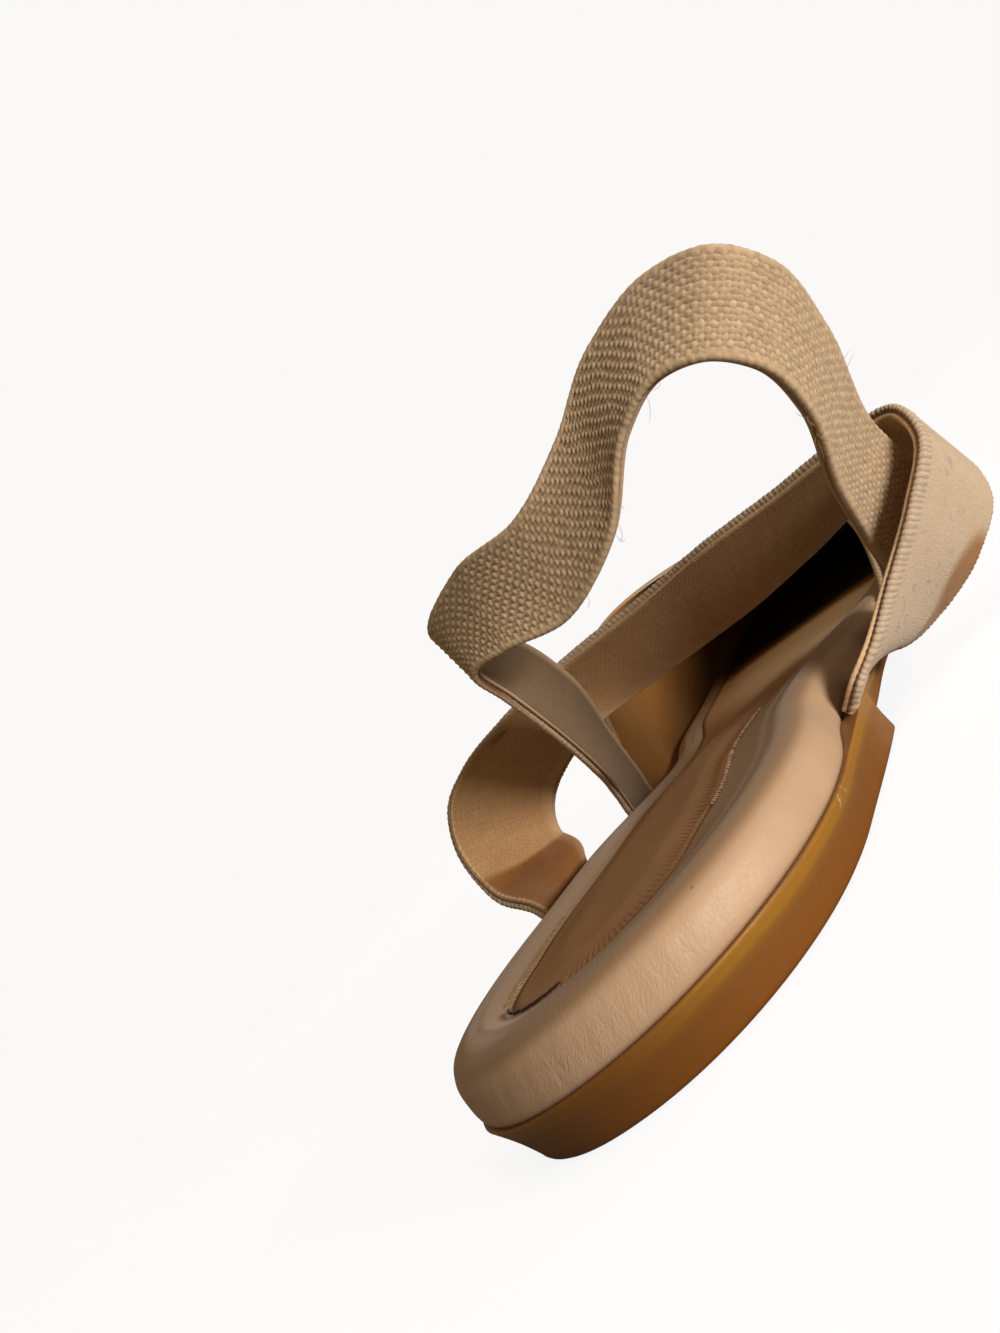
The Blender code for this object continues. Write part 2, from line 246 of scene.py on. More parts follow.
def sole_bottom(y):
    """Height of the outsole's underside: heel on the floor, lifted waist, forefoot on the floor."""
    return WAIST_LIFT * ease(BREAST + 0.1, BREAST + 0.9, y) * (1.0 - ease(98.0, 132.0, y)) + spring(y)


STATIONS = np.concatenate([
    HEEL_DEPTH * (1.0 - np.cos(np.linspace(0.0, np.pi / 2, 61)[1:])),
    np.linspace(HEEL_DEPTH, BREAST - 0.4, 40)[1:],
    np.linspace(BREAST - 0.2, BREAST + 1.2, 10),
    np.linspace(BREAST + 1.8, VAMP_REAR, 60),
    np.linspace(VAMP_REAR, TOE_FROM, 90)[1:],
    TOE_FROM + (LENGTH - TOE_FROM) * np.sin(np.linspace(0.0, np.pi / 2, 81)[1:-1]),
])
SIDE = len(STATIONS)
RING = np.concatenate([
    [[0.0, 0.0]],
    np.column_stack([foot_line(STATIONS) + half_width(STATIONS, 2), STATIONS]),
    [[TOE_SWING, LENGTH]],
    np.column_stack([foot_line(STATIONS) - half_width(STATIONS, 1), STATIONS])[::-1],
])
RING_Y = RING[:, 1]
# From the shoe's frame to the part's, read from the outsole's packed box
SHIFT = 1000.0 * np.array(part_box("outsole")[0]) - (RING[:, 0].min(), 0.0, 0.0)
ALONG = np.roll(RING, -1, axis=0) - np.roll(RING, 1, axis=0)
NORMAL = np.column_stack([ALONG[:, 1], -ALONG[:, 0]]) / np.linalg.norm(ALONG, axis=1)[:, None]
SPINE_Y = 24.0 + (LENGTH - 50.0) * RING_Y / LENGTH
SPINE = np.column_stack([foot_line(SPINE_Y), SPINE_Y])
STEPS = np.linalg.norm(np.roll(RING, -1, axis=0) - RING, axis=1)
RUN = np.concatenate([[0.0], np.cumsum(STEPS)])
FROM_HEEL = np.where(RUN[:-1] < 0.5 * RUN[-1], RUN[:-1], RUN[:-1] - RUN[-1])


def ring_at(inset, height, share=0.0):
    """The outline moved in by an inset, then a share of the way to the sole's spine, at a height."""
    plan = RING - NORMAL * np.broadcast_to(inset, RING_Y.shape)[:, None]
    plan = plan * (1.0 - share) + SPINE * share
    return np.column_stack([plan, np.broadcast_to(height, RING_Y.shape)])


def stacked(rows):
    """Rings from rows of inset, height, share of the way to the spine and level, with each point's level."""
    rings = np.stack([ring_at(*row[:3]) for row in rows])
    levels = np.array([row[3] for row in rows])
    return rings, np.broadcast_to(levels[:, None], rings.shape[:2])


def quads(numbers):
    """Corner numbers of every cell of a grid of numbers."""
    corners = [numbers[:-1, :-1], numbers[:-1, 1:], numbers[1:, 1:], numbers[1:, :-1]]
    return np.stack(corners, axis=-1).reshape(-1, 4)


def add_piece(name, points, faces, corner_uv, fields, materials, face_material=None):
    """Smooth mesh object from points in shoe millimetres, quads, a map in millimetres and point fields."""
    used, faces_used = np.unique(faces, return_inverse=True)
    mesh = bpy.data.meshes.new(name)
    mesh.from_pydata(((points[used] + SHIFT) * 0.001).tolist(), [], faces_used.reshape(-1, 4).tolist())
    mesh.uv_layers.new(name="cloth").data.foreach_set("uv", corner_uv.ravel())
    mesh.polygons.foreach_set("use_smooth", np.ones(len(faces), dtype=bool))
    for key, value in fields.items():
        mesh.attributes.new(key, "FLOAT", "POINT").data.foreach_set("value", value.ravel()[used])
    for material in materials:
        mesh.materials.append(material)
    if face_material is not None:
        mesh.polygons.foreach_set("material_index", face_material)
    mesh.update()
    made = bpy.data.objects.new(name, mesh)
    bpy.context.collection.objects.link(made)
    return made


def zipped(name, rings, spacing, fields, materials):
    """Solid from rings, bottom to top, whose first and last lie on the spine and are zipped shut there.

    Its map has the run along the edge, and a spacing in millimetres from ring to ring.
    """
    rows, cols = rings.shape[:2]
    numbers = np.arange(rows * cols).reshape(rows, cols)
    numbers[0, SIDE + 2:] = numbers[0, 1:SIDE + 1][::-1]
    numbers[-1, SIDE + 2:] = numbers[-1, 1:SIDE + 1][::-1]
    faces = quads(np.concatenate([numbers, numbers[:, :1]], axis=1))
    run = np.broadcast_to(RUN[None, :], (rows, cols + 1))
    across = np.cumsum(np.full(rows, spacing))
    uv = np.stack([run, np.broadcast_to(across[:, None], run.shape)], axis=-1).reshape(-1, 2)
    corner_uv = uv[quads(np.arange(rows * (cols + 1)).reshape(rows, cols + 1))]
    return add_piece(name, rings.reshape(-1, 3), faces, corner_uv, fields, materials)


def calc(tree, operation, first, second=0.0, third=0.0):
    """Result of a math node."""
    return put(tree, "ShaderNodeMath", {0: first, 1: second, 2: third}, operation=operation).outputs[0]


def times(tree, first, second):
    """Product of two values."""
    return calc(tree, "MULTIPLY", first, second)


def mixed(tree, share, first, second, blend="MIX"):
    """Colour between two colours, each a link or red, green and blue."""
    inputs = {0: share}
    for number, colour in ((6, first), (7, second)):
        inputs[number] = colour if isinstance(colour, bpy.types.NodeSocket) else (*colour, 1.0)
    return put(tree, "ShaderNodeMix", inputs, data_type="RGBA", blend_type=blend).outputs[2]


def ramp(tree, share, stops):
    """Colour along a row of stops: place, red, green, blue."""
    made = put(tree, "ShaderNodeValToRGB", {0: share})
    for k, (place, *colour) in enumerate(stops):
        stop = made.color_ramp.elements[k] if k < 2 else made.color_ramp.elements.new(place)
        stop.position = place
        stop.color = (*colour, 1.0)
    return made.outputs[0]


def field(tree, name):
    """A point field of the piece."""
    return put(tree, "ShaderNodeAttribute", attribute_name=name).outputs["Fac"]


def noise(tree, where, scale, detail=2.0, rough=0.5):
    """Noise value at a place."""
    inputs = {"Vector": where, "Scale": scale, "Detail": detail, "Roughness": rough}
    return put(tree, "ShaderNodeTexNoise", inputs).outputs[0]


def span(tree, value, low, high, start=0.0, end=1.0):
    """Value taken from one span to another, and held at the ends."""
    inputs = {"Value": value, "From Min": low, "From Max": high, "To Min": start, "To Max": end}
    return put(tree, "ShaderNodeMapRange", inputs, clamp=True).outputs[0]


def bump(tree, shader, height, distance):
    """Relief on a shader, its distance in metres."""
    made = put(tree, "ShaderNodeBump", {"Height": height, "Distance": distance, "Strength": 1.0})
    tree.links.new(made.outputs[0], shader.inputs["Normal"])


def outsole_rings():
    """Rings under the sole, round its lower edge, up the tapered side and over the top."""
    heel = HEEL_TAPER + (BREAST_TAPER - HEEL_TAPER) * ease(25.0, BREAST, RING_Y)
    taper = heel + (FORE_TAPER - heel) * ease(BREAST + 0.1, BREAST + 0.9, RING_Y)
    low = sole_bottom(RING_Y)
    top = sole_top(RING_Y)
    rows = [(taper + EDGE_ROUND, low, share, 0.0) for share in (1.0, 0.6, 0.25, 0.06, 0.0)]
    for turn in np.radians((25.0, 50.0, 72.0, 90.0)):
        inset = taper + EDGE_ROUND * (1.0 - np.sin(turn))
        height = low + EDGE_ROUND * (1.0 - np.cos(turn))
        rows.append((inset, height, 0.0, LOW_SHARE * turn / (0.5 * np.pi)))
    for k in np.linspace(0.0, 1.0, 15)[1:]:
        inset = taper * (1.0 - k) + SIDE_HOLLOW * np.sin(np.pi * k)
        height = low + EDGE_ROUND + k * (top - low - EDGE_ROUND - TOP_ROUND)
        rows.append((inset, height, 0.0, LOW_SHARE + (1.0 - LOW_SHARE - TOP_SHARE) * k))
    for turn in np.radians((30.0, 60.0, 90.0)):
        height = top - TOP_ROUND * (1.0 - np.sin(turn))
        share = 1.0 - TOP_SHARE + TOP_SHARE * turn / (0.5 * np.pi)
        rows.append((TOP_ROUND * (1.0 - np.cos(turn)), height, 0.0, share))
    return stacked(rows + [(TOP_ROUND, top, share, 1.0) for share in (0.06, 0.3, 0.65, 1.0)])


def rubber():
    """Gum rubber: amber under the footbed, brown below, cloudy, with dull dusty ends and pale nicks."""
    material, tree, shader = new_material("gum_rubber", Roughness=0.46, Coat_Weight=0.12, Coat_Roughness=0.35)
    where = put(tree, "ShaderNodeTexCoord").outputs["Object"]
    cloud = noise(tree, where, 55.0, 3.0)
    drift = calc(tree, "MULTIPLY_ADD", cloud, 0.22, -0.11)
    rise = calc(tree, "ADD", field(tree, "rise"), drift)
    colour = mixed(tree, field(tree, "amber"), RUBBER_BROWN, ramp(tree, rise, RUBBER_SIDE))
    dusty = span(tree, noise(tree, where, 140.0), 0.35, 0.65, 0.4, 1.0)
    dull = times(tree, field(tree, "dull"), dusty)
    colour = mixed(tree, times(tree, dull, 0.55), colour, RUBBER_DUST)
    fleck = span(tree, noise(tree, where, 1500.0, 1.0), 0.60, 0.66)
    nick = times(tree, field(tree, "nick"), fleck)
    colour = mixed(tree, nick, colour, RUBBER_NICK)
    tree.links.new(colour, shader.inputs["Base Color"])
    grain = noise(tree, where, 900.0, 3.0, 0.6)
    tree.links.new(span(tree, grain, 0.3, 0.7, 0.40, 0.54), shader.inputs["Roughness"])
    bump(tree, shader, calc(tree, "MULTIPLY_ADD", cloud, 3.0, grain), 0.00004)
    return material


rings, rise = outsole_rings()
nick = np.exp(-((FROM_HEEL[None, :] - NICK_AT) / NICK_LONG) ** 2 - ((rise - NICK_RISE) / NICK_TALL) ** 2)
amber = np.broadcast_to(0.2 + 0.8 * ease(2.0, 24.0, np.abs(FROM_HEEL)), rise.shape)
dull = np.broadcast_to(ease(48.0, 64.0, RING_Y) * (1.0 - ease(66.0, 80.0, RING_Y)), rise.shape)
outsole = zipped(
    "outsole_rubber", rings, 0.6,
    {"rise": rise, "nick": nick, "dull": dull, "amber": amber}, [rubber()],
)
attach(outsole, "root")
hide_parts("outsole")

# Footbed
# Padded board in champagne leather: rolled rim with lasting creases round the back of the heel, painted
# shade on top of its outer side and, half as strong, up its inner side, and a soft slope down to the seam
# of the sock. It is glued to the rubber.
RIM_HEEL = 7.2
RIM_FORE = 5.0
STRAP_MARGIN = 2.9
VAMP_MARGIN = 3.3
SEAM_BACK = 10.0
SEAM_HEEL = 14.0
SEAM_FORE = 9.0
GAP = 0.3
SEEN_GAP = 0.05
SEAM_IN = 0.05
SEAM_LEVEL = 0.865
INNER_LIFT = 0.06
SOCK_FLOOR = 0.50
# Painted shade inside the toe: past a slanting line the footbed and sock go amber, then black
TOE_SHADE_FROM = 146.0
TOE_SHADE_SIDE = 16.0
TOE_SHADE_SLANT = 0.92
TOE_SHADE_OVER = 22.0
# Painted light on the sock's front, lighter than the rim's own leather
LIT_FRONT_FROM = 112.0
LIT_FRONT_OVER = 30.0
LIT_FRONT_SLANT = 0.92
SOCK_PAINTED_LIGHT = (0.90, 0.67, 0.46)
TOE_PENUMBRA_AMBER = (0.30, 0.125, 0.018)
TOE_SHADE_BLACK = (0.006, 0.003, 0.002)
RIM_LIGHT = (0.595, 0.42, 0.28)
RIM_DARK = (0.525, 0.357, 0.228)
# Painted shade: the top of the rim darkened as if turned from the light
RIM_PAINTED_SHADE = (0.37, 0.235, 0.135)
PINHOLE = (0.30, 0.17, 0.09)
# Painted shade in the gap at the footbed's foot over the rubber; also darkens the sock's seam
GAP_SHADE_AND_SEAM_DARK = (0.26, 0.13, 0.06)
# Painted shade in the wrinkles' creases
LEATHER_FOLD_SHADE = (0.34, 0.20, 0.11)
# The sock's colours: the rim's leather made darker and browner, painted shade of the sunken floor
SOCK_SHADED_LIGHT = (0.50, 0.292, 0.150)
SOCK_SHADED_DARK = (0.43, 0.240, 0.118)
# Rim from its underside to the top: inset from its edge, share of the rim height
RIM = np.array([
    (0.35, 0.00),
    (0.05, 0.08),
    (0.0, 0.36),
    (0.4, 0.62),
    (1.5, 0.82),
    (3.2, 0.92),
    (7.0, 0.935),
])
# Lasting creases: distance from the heel's tip along the edge, outer side positive, depth, width, lean
CREASES = np.array([
    (-26.0, 0.06, 0.9, 0.6),
    (-21.0, 0.08, 0.8, 0.5),
    (-17.2, 0.06, 0.6, 0.7),
    (-14.0, 0.09, 0.9, 0.6),
    (-11.1, 0.07, 0.6, 0.4),
    (-8.6, 0.11, 0.8, 0.8),
    (-6.2, 0.08, 0.5, 0.5),
    (-4.3, 0.11, 0.7, 0.7),
    (-2.0, 0.09, 0.6, 0.9),
    (0.2, 0.12, 0.7, 0.6),
    (2.6, 0.08, 0.5, 0.8),
    (4.6, 0.11, 0.8, 0.7),
    (7.1, 0.09, 0.6, 0.5),
    (9.3, 0.07, 0.5, 0.8),
    (11.8, 0.10, 0.8, 0.6),
    (14.6, 0.07, 0.6, 0.4),
    (17.9, 0.08, 0.8, 0.6),
    (22.0, 0.06, 0.7, 0.5),
    (27.5, 0.07, 0.9, 0.4),
    (35.0, 0.04, 0.9, 0.3),
    (43.0, 0.04, 1.0, 0.3),
])

# Share of the outer side, which goes round the back of the heel
OUTER_SIDE = ease(-22.0, -8.0, FROM_HEEL)


def toe_painted_shade(points):
    """Share of the painted shade inside the toe at points: none before a slanting line, all some way past it.
    """
    past = points[..., 1] - TOE_SHADE_FROM - TOE_SHADE_SLANT * (TOE_SHADE_SIDE - points[..., 0])
    return ease(0.0, TOE_SHADE_OVER, past)


def front_painted_light(points):
    """Share of the painted light on the sock's front at points: grows past a line that slants to the inner
    side.
    """
    return ease(LIT_FRONT_FROM, LIT_FRONT_FROM + LIT_FRONT_OVER, points[..., 1] + LIT_FRONT_SLANT * points[..., 0])


def footbed_inset():
    """Inset of the footbed from the sole's edge: flush at the heel, a margin under straps and vamp."""
    straps = 0.3 + (STRAP_MARGIN - 0.3) * ease(38.0, 60.0, RING_Y)
    return straps + (VAMP_MARGIN - STRAP_MARGIN) * ease(104.0, 116.0, RING_Y)


def rim_height():
    """Height of the footbed's rim."""
    return RIM_HEEL + (RIM_FORE - RIM_HEEL) * ease(60.0, 140.0, RING_Y)


def seam_inset():
    """Distance of the sock's seam from the footbed's edge."""
    heel = SEAM_BACK + (SEAM_HEEL - SEAM_BACK) * ease(4.0, 30.0, RING_Y)
    return heel + (SEAM_FORE - SEAM_HEEL) * ease(60.0, 130.0, RING_Y)


def creased(level):
    """Depth of the lasting creases at a level of the rim: narrow dips that lean with the height."""
    at = FROM_HEEL[:, None] - CREASES[None, :, 0] - 4.0 * (level - 0.4) * CREASES[None, :, 3]
    dips = (CREASES[None, :, 1] * np.exp(-(at / CREASES[None, :, 2]) ** 2)).sum(axis=1)
    return dips * np.exp(-((level - 0.42) / 0.34) ** 2)


def footbed_rings():
    """Rings across the underside, up the creased rim, down the slope and over the sock's floor."""
    base = sole_top(RING_Y) + GAP
    seat = sole_top(RING_Y) + SEEN_GAP
    edge = footbed_inset()
    tall = rim_height()
    seam = seam_inset()
    lift = 1.0 + INNER_LIFT * (1.0 - OUTER_SIDE) * (1.0 - ease(120.0, 160.0, RING_Y))
    top = RIM[-1, 1] * lift
    walk = np.concatenate([[0.0], np.cumsum(np.hypot(np.diff(RIM[:, 0]), 6.0 * np.diff(RIM[:, 1])))])
    fine = np.linspace(0.0, walk[-1], 30)
    rows = [(edge + RIM[0, 0], seat, share, 0.0) for share in (1.0, 0.5, 0.1)]
    for inset, level in zip(through(fine, walk, RIM[:, 0]), through(fine, walk, RIM[:, 1])):
        height = seat + level * (base + tall * lift - seat)
        rows.append((edge + inset + creased(level), height, 0.0, max(level, rows[-1][3])))
    for k in np.linspace(0.0, 1.0, 13)[1:]:
        down = top - (top - SEAM_LEVEL) * (0.65 * k + 0.35 * ease(0.0, 1.0, k))
        rows.append((edge + RIM[-1, 0] + k * (seam - RIM[-1, 0]), base + down * tall, 0.0, 1.0 + k))
    sock_floor = base + SOCK_FLOOR * tall
    return stacked(rows + [(edge + seam + SEAM_IN, sock_floor, share, 2.0) for share in (0.0, 0.4, 1.0)])


def leather(name, light, dark, rough, shine, gathers):
    """Champagne leather: grain, clouds, pinholes, crosswise lines, wrinkles, gathers; painted shade and light
    by fields.
    """
    material, tree, shader = new_material(
        name, Coat_Weight=0.06 * shine, Coat_Roughness=0.40, Sheen_Weight=0.12 * shine, Sheen_Roughness=0.45,
        Specular_IOR_Level=0.5 * shine,
    )
    coords = put(tree, "ShaderNodeTexCoord")
    where = coords.outputs["Object"]
    cloud = noise(tree, where, 48.0, 4.0, 0.6)
    colour = mixed(tree, span(tree, cloud, 0.30, 0.70), light, dark)
    # Painted shade on the rim's top
    colour = mixed(tree, field(tree, "rim_painted_shade"), colour, RIM_PAINTED_SHADE)
    # Painted light on the sock's front
    colour = mixed(tree, field(tree, "sock_painted_light"), colour, SOCK_PAINTED_LIGHT)
    holes = put(tree, "ShaderNodeTexVoronoi", {"Vector": where, "Scale": 260.0}).outputs["Distance"]
    hole = span(tree, holes, 0.045, 0.085, 1.0, 0.0)
    thin = span(tree, noise(tree, where, 120.0), 0.52, 0.58)
    hole = times(tree, hole, thin)
    colour = mixed(tree, times(tree, hole, 0.55), colour, PINHOLE)
    # Painted shade at the rim's foot over the rubber, and darker along the sock's seam
    edge = field(tree, "edge")
    colour = mixed(tree, times(tree, edge, 0.70), colour, GAP_SHADE_AND_SEAM_DARK)
    grain = noise(tree, where, 2400.0, 3.0, 0.6)
    skin = coords.outputs["UV"]
    flat = put(tree, "ShaderNodeMapping", {"Vector": skin, "Scale": (2.2, 0.22, 1.0)}).outputs[0]
    lines = noise(tree, flat, 1.0, 3.0, 0.6)
    leant = put(tree, "ShaderNodeMapping", {"Vector": skin, "Rotation": (0.0, 0.0, 0.42)}).outputs[0]
    leant = put(tree, "ShaderNodeMapping", {"Vector": leant, "Scale": (2.1, 0.30, 1.0)}).outputs[0]
    fold = calc(tree, "ABSOLUTE", calc(tree, "SUBTRACT", noise(tree, leant, 1.0, 2.0), 0.5))
    fold = times(tree, span(tree, fold, 0.0, 0.07, 1.0, 0.0), field(tree, "wrinkle"))
    # Painted shade along the creases of the wrinkles
    colour = mixed(tree, times(tree, fold, 0.06), colour, LEATHER_FOLD_SHADE)
    # Painted shade inside the toe: amber at its edge, black further in
    toe = field(tree, "toe_painted_shade")
    colour = mixed(tree, span(tree, toe, 0.0, 0.35), colour, TOE_PENUMBRA_AMBER)
    colour = mixed(tree, span(tree, toe, 0.30, 0.85), colour, TOE_SHADE_BLACK)
    tree.links.new(colour, shader.inputs["Base Color"])
    tree.links.new(span(tree, grain, 0.3, 0.7, rough - 0.06, rough + 0.08), shader.inputs["Roughness"])
    run = put(tree, "ShaderNodeSeparateXYZ", {0: skin}).outputs[0]
    wander = calc(tree, "MULTIPLY_ADD", lines, 3.0, times(tree, run, 2.0 * np.pi / gathers))
    pleat = times(tree, calc(tree, "SINE", wander), field(tree, "gather"))
    height = calc(tree, "MULTIPLY_ADD", lines, 0.40, times(tree, grain, 0.40))
    height = calc(tree, "SUBTRACT", height, times(tree, hole, 0.8))
    height = calc(tree, "SUBTRACT", height, times(tree, fold, 0.30))
    bump(tree, shader, calc(tree, "MULTIPLY_ADD", pleat, 1.2, height), 0.00008)
    return material


rings, levels = footbed_rings()
# Painted shade at the foot of the rim, where it meets the rubber
foot_edge = 0.5 * np.clip(1.0 - levels / 0.06, 0.0, 1.0)
plain_seam = OUTER_SIDE * (1.0 - ease(45.0, 60.0, FROM_HEEL))
seam_edge = ease(1.90, 2.0, levels) * (1.0 - plain_seam)
# Painted shade on top of the rim: full on the outer side, half as strong up the inner side
rim_painted_shade = OUTER_SIDE * ease(0.69, 0.87, levels) * (1.0 - 0.5 * ease(1.0, 1.5, levels))
rim_painted_shade = rim_painted_shade + 0.5 * (1.0 - OUTER_SIDE) * ease(0.3, 0.9, levels)
wrinkle = ease(0.03, 0.2, levels) * (1.0 - ease(0.35, 0.85, levels))
wrinkle = wrinkle * np.exp(-(((FROM_HEEL - 4.0) / 22.0) ** 2))[None, :]
footbed = zipped(
    "footbed_leather", rings, 0.7,
    {
        "edge": np.maximum(foot_edge, 0.5 * seam_edge), "gather": 0.5 * ease(1.80, 1.98, levels),
        "wrinkle": wrinkle, "toe_painted_shade": toe_painted_shade(rings), "rim_painted_shade": rim_painted_shade,
    },
    [leather("champagne_leather", RIM_LIGHT, RIM_DARK, 0.50, 1.0, 1.5)],
)
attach(footbed, "root")
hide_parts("footbed")

# Sock panel
# Softer leather let into the footbed, darker and browner than the rim as painted shade of the sunken floor,
# with painted light on its front before the painted shade of the toe, gathered along its seam: fine golden
# overcast stitches on the inner side, tight pleats on the outer side, and a dark thread round the corner at
# the heel.
SOCK_EDGE = 1.5
SOCK_SIDE = 0.55
SOCK_ROUND = 0.65
SOCK_CROWN = 0.35
STITCH_OUT = 0.55
CORNER_FROM = -24.0
CORNER_TO = -5.0
CORNER_RADIUS = 0.17
THREAD_WALK = np.linspace(0.0, 1.0, 9)
THREAD_AROUND = 6
THREAD_SHADE = (0.30, 0.17, 0.07)
THREAD_TONES = (
    (0.0, 0.60, 0.39, 0.13),
    (0.5, 0.58, 0.385, 0.235),
    (1.0, 0.060, 0.030, 0.014),
)
# Rows of stitches: first place along the edge, last place, pitch, half reach, radius, share skipped,
# tone, gold or leather
STITCH_ROWS = np.array([
    (-60.0, -27.0, 1.05, 0.80, 0.065, 0.25, 0.0),
    (50.0, 92.0, 0.80, 0.70, 0.14, 0.0, 0.5),
])


def sock_rings():
    """Rings under the sock, round its edge and over its slightly crowned top."""
    base = sole_top(RING_Y) + GAP
    floor_z = base + SOCK_FLOOR * rim_height() + GAP
    level = base + SEAM_LEVEL * rim_height()
    edge = footbed_inset() + seam_inset() + SEAM_IN + GAP
    rows = [(edge, floor_z, share, inward) for share, inward in ((1.0, 9.0), (0.4, 9.0), (0.0, 0.0))]
    rows.append((edge, level - SOCK_SIDE, 0.0, 0.0))
    for turn in np.radians(np.linspace(10.0, 90.0, 8)):
        inward = SOCK_EDGE * (1.0 - np.cos(turn))
        rows.append((edge + inward, level - SOCK_SIDE + SOCK_ROUND * np.sin(turn), 0.0, inward))
    for share in np.linspace(0.0, 1.0, 26)[1:]:
        top = level - SOCK_SIDE + SOCK_ROUND + SOCK_CROWN * ease(0.0, 0.5, share)
        rows.append((edge + SOCK_EDGE, top, share, SOCK_EDGE + 16.0 * share))
    return stacked(rows)


def stitch_tubes(centres, runs, radius):
    """Thin tubes, one per row of points: a round section carried along them, thinner at both ends."""
    ahead = np.gradient(centres, axis=1)
    ahead /= np.linalg.norm(ahead, axis=2)[:, :, None]
    side = np.cross(ahead, np.array((0.0, 0.0, 1.0)))
    side /= np.maximum(np.linalg.norm(side, axis=2), 1e-6)[:, :, None]
    up = np.cross(side, ahead)
    turn = np.linspace(0.0, 2.0 * np.pi, THREAD_AROUND, endpoint=False)
    taper = np.clip(np.minimum(runs, 1.0 - runs) * 6.0, 0.25, 1.0)[None, :, None, None]
    section = np.cos(turn)[None, None, :, None] * side[:, :, None, :]
    section = section + np.sin(turn)[None, None, :, None] * up[:, :, None, :]
    return centres[:, :, None, :] + radius * taper * section


def thread_faces(count, steps, around):
    """Quads of many tubes and of the flat caps at their ends."""
    numbers = np.arange(count * steps * around).reshape(count, steps, around)
    ring = np.concatenate([numbers, numbers[:, :, :1]], axis=2)
    sides = np.stack([ring[:, :-1, :-1], ring[:, 1:, :-1], ring[:, 1:, 1:], ring[:, :-1, 1:]], axis=-1)
    half = np.arange(around // 2 - 1)
    first = np.stack([
        numbers[:, 0, half], numbers[:, 0, half + 1],
        numbers[:, 0, around - 2 - half], numbers[:, 0, around - 1 - half],
    ], axis=-1)
    last = np.stack([
        numbers[:, -1, around - 1 - half], numbers[:, -1, around - 2 - half],
        numbers[:, -1, half + 1], numbers[:, -1, half],
    ], axis=-1)
    return np.concatenate([sides.reshape(-1, 4), first.reshape(-1, 4), last.reshape(-1, 4)])


def thread():
    """Thread with a fine twist: gold, leather-coloured or dark by a tone field."""
    material, tree, shader = new_material("thread", Roughness=0.8, Sheen_Weight=0.08)
    where = put(tree, "ShaderNodeTexCoord").outputs["Object"]
    tone = ramp(tree, field(tree, "tone"), THREAD_TONES)
    shade = span(tree, noise(tree, where, 700.0), 0.35, 0.65, 0.0, 0.5)
    colour = mixed(tree, shade, tone, THREAD_SHADE, "MULTIPLY")
    tree.links.new(colour, shader.inputs["Base Color"])
    bump(tree, shader, noise(tree, where, 6000.0), 0.00003)
    return material


THREAD = thread()


def add_threads(name, tubes, tones):
    """Piece of many thin tubes, each with its own tone."""
    count, steps, around = tubes.shape[:3]
    faces = thread_faces(count, steps, around)
    fields = {"tone": np.repeat(tones, steps * around)}
    return add_piece(name, tubes.reshape(-1, 3), faces, np.zeros((len(faces), 4, 2)), fields, [THREAD])


def on_seam(places, out, up):
    """Points on the sock's seam at places along the edge, moved out across it and up."""
    order = np.argsort(FROM_HEEL)
    seam = ring_at(footbed_inset() + seam_inset() + 0.2, sole_top(RING_Y) + GAP + SEAM_LEVEL * rim_height())
    at = np.stack([np.interp(places, FROM_HEEL[order], seam[order, c]) for c in range(3)], axis=-1)
    at[..., 0] += out * np.interp(places, FROM_HEEL[order], NORMAL[order, 0])
    at[..., 1] += out * np.interp(places, FROM_HEEL[order], NORMAL[order, 1])
    at[..., 2] += up
    return at


rings, inward = sock_rings()
gather = (1.0 - ease(0.4, 4.5, inward)) * (0.35 + 0.65 * ease(20.0, 60.0, np.abs(FROM_HEEL))[None, :])
sock = zipped(
    "sock_leather", rings, 0.7,
    {
        "edge": 0.75 * (1.0 - ease(0.0, 0.7, inward)) * (1.0 - plain_seam), "gather": gather,
        "toe_painted_shade": toe_painted_shade(rings), "sock_painted_light": front_painted_light(rings),
    },
    [leather("sock_leather", SOCK_SHADED_LIGHT, SOCK_SHADED_DARK, 0.55, 0.15, 1.5)],
)
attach(sock, "root")
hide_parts("sock_panel")

dice = np.random.default_rng(3)
tubes = []
tones = []
for first, last, pitch, half_reach, radius, skipped, tone in STITCH_ROWS:
    places = np.arange(first, last, pitch)
    places = places[dice.uniform(0.0, 1.0, len(places)) > skipped]
    places = places + dice.uniform(-0.16, 0.16, len(places))
    reach = (half_reach * dice.uniform(0.75, 1.1, len(places)))[:, None] * (1.0 - 2.0 * THREAD_WALK)
    arch = 0.20 * np.sin(np.pi * THREAD_WALK) + 0.10 + 0.12 * (1.0 - THREAD_WALK)
    leant = places[:, None] + 0.30 * (2.0 * THREAD_WALK - 1.0)
    tubes.append(stitch_tubes(on_seam(leant, STITCH_OUT + reach, arch), THREAD_WALK, radius))
    tones.append(np.full(len(places), tone))
corner = np.linspace(CORNER_FROM, CORNER_TO, 5)[:, None] + (CORNER_TO - CORNER_FROM) * 0.27 * THREAD_WALK
corner_at = on_seam(corner, 0.2 + 0.1 * np.sin(3.0 * corner), 0.32 + 0.05 * np.sin(9.0 * corner))
tubes.append(stitch_tubes(corner_at, 0.1 + 0.8 * THREAD_WALK, CORNER_RADIUS))
tones.append(np.ones(len(corner)))
stitches = add_threads("sock_stitches", np.concatenate(tubes), np.concatenate(tones))
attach(stitches, "root")

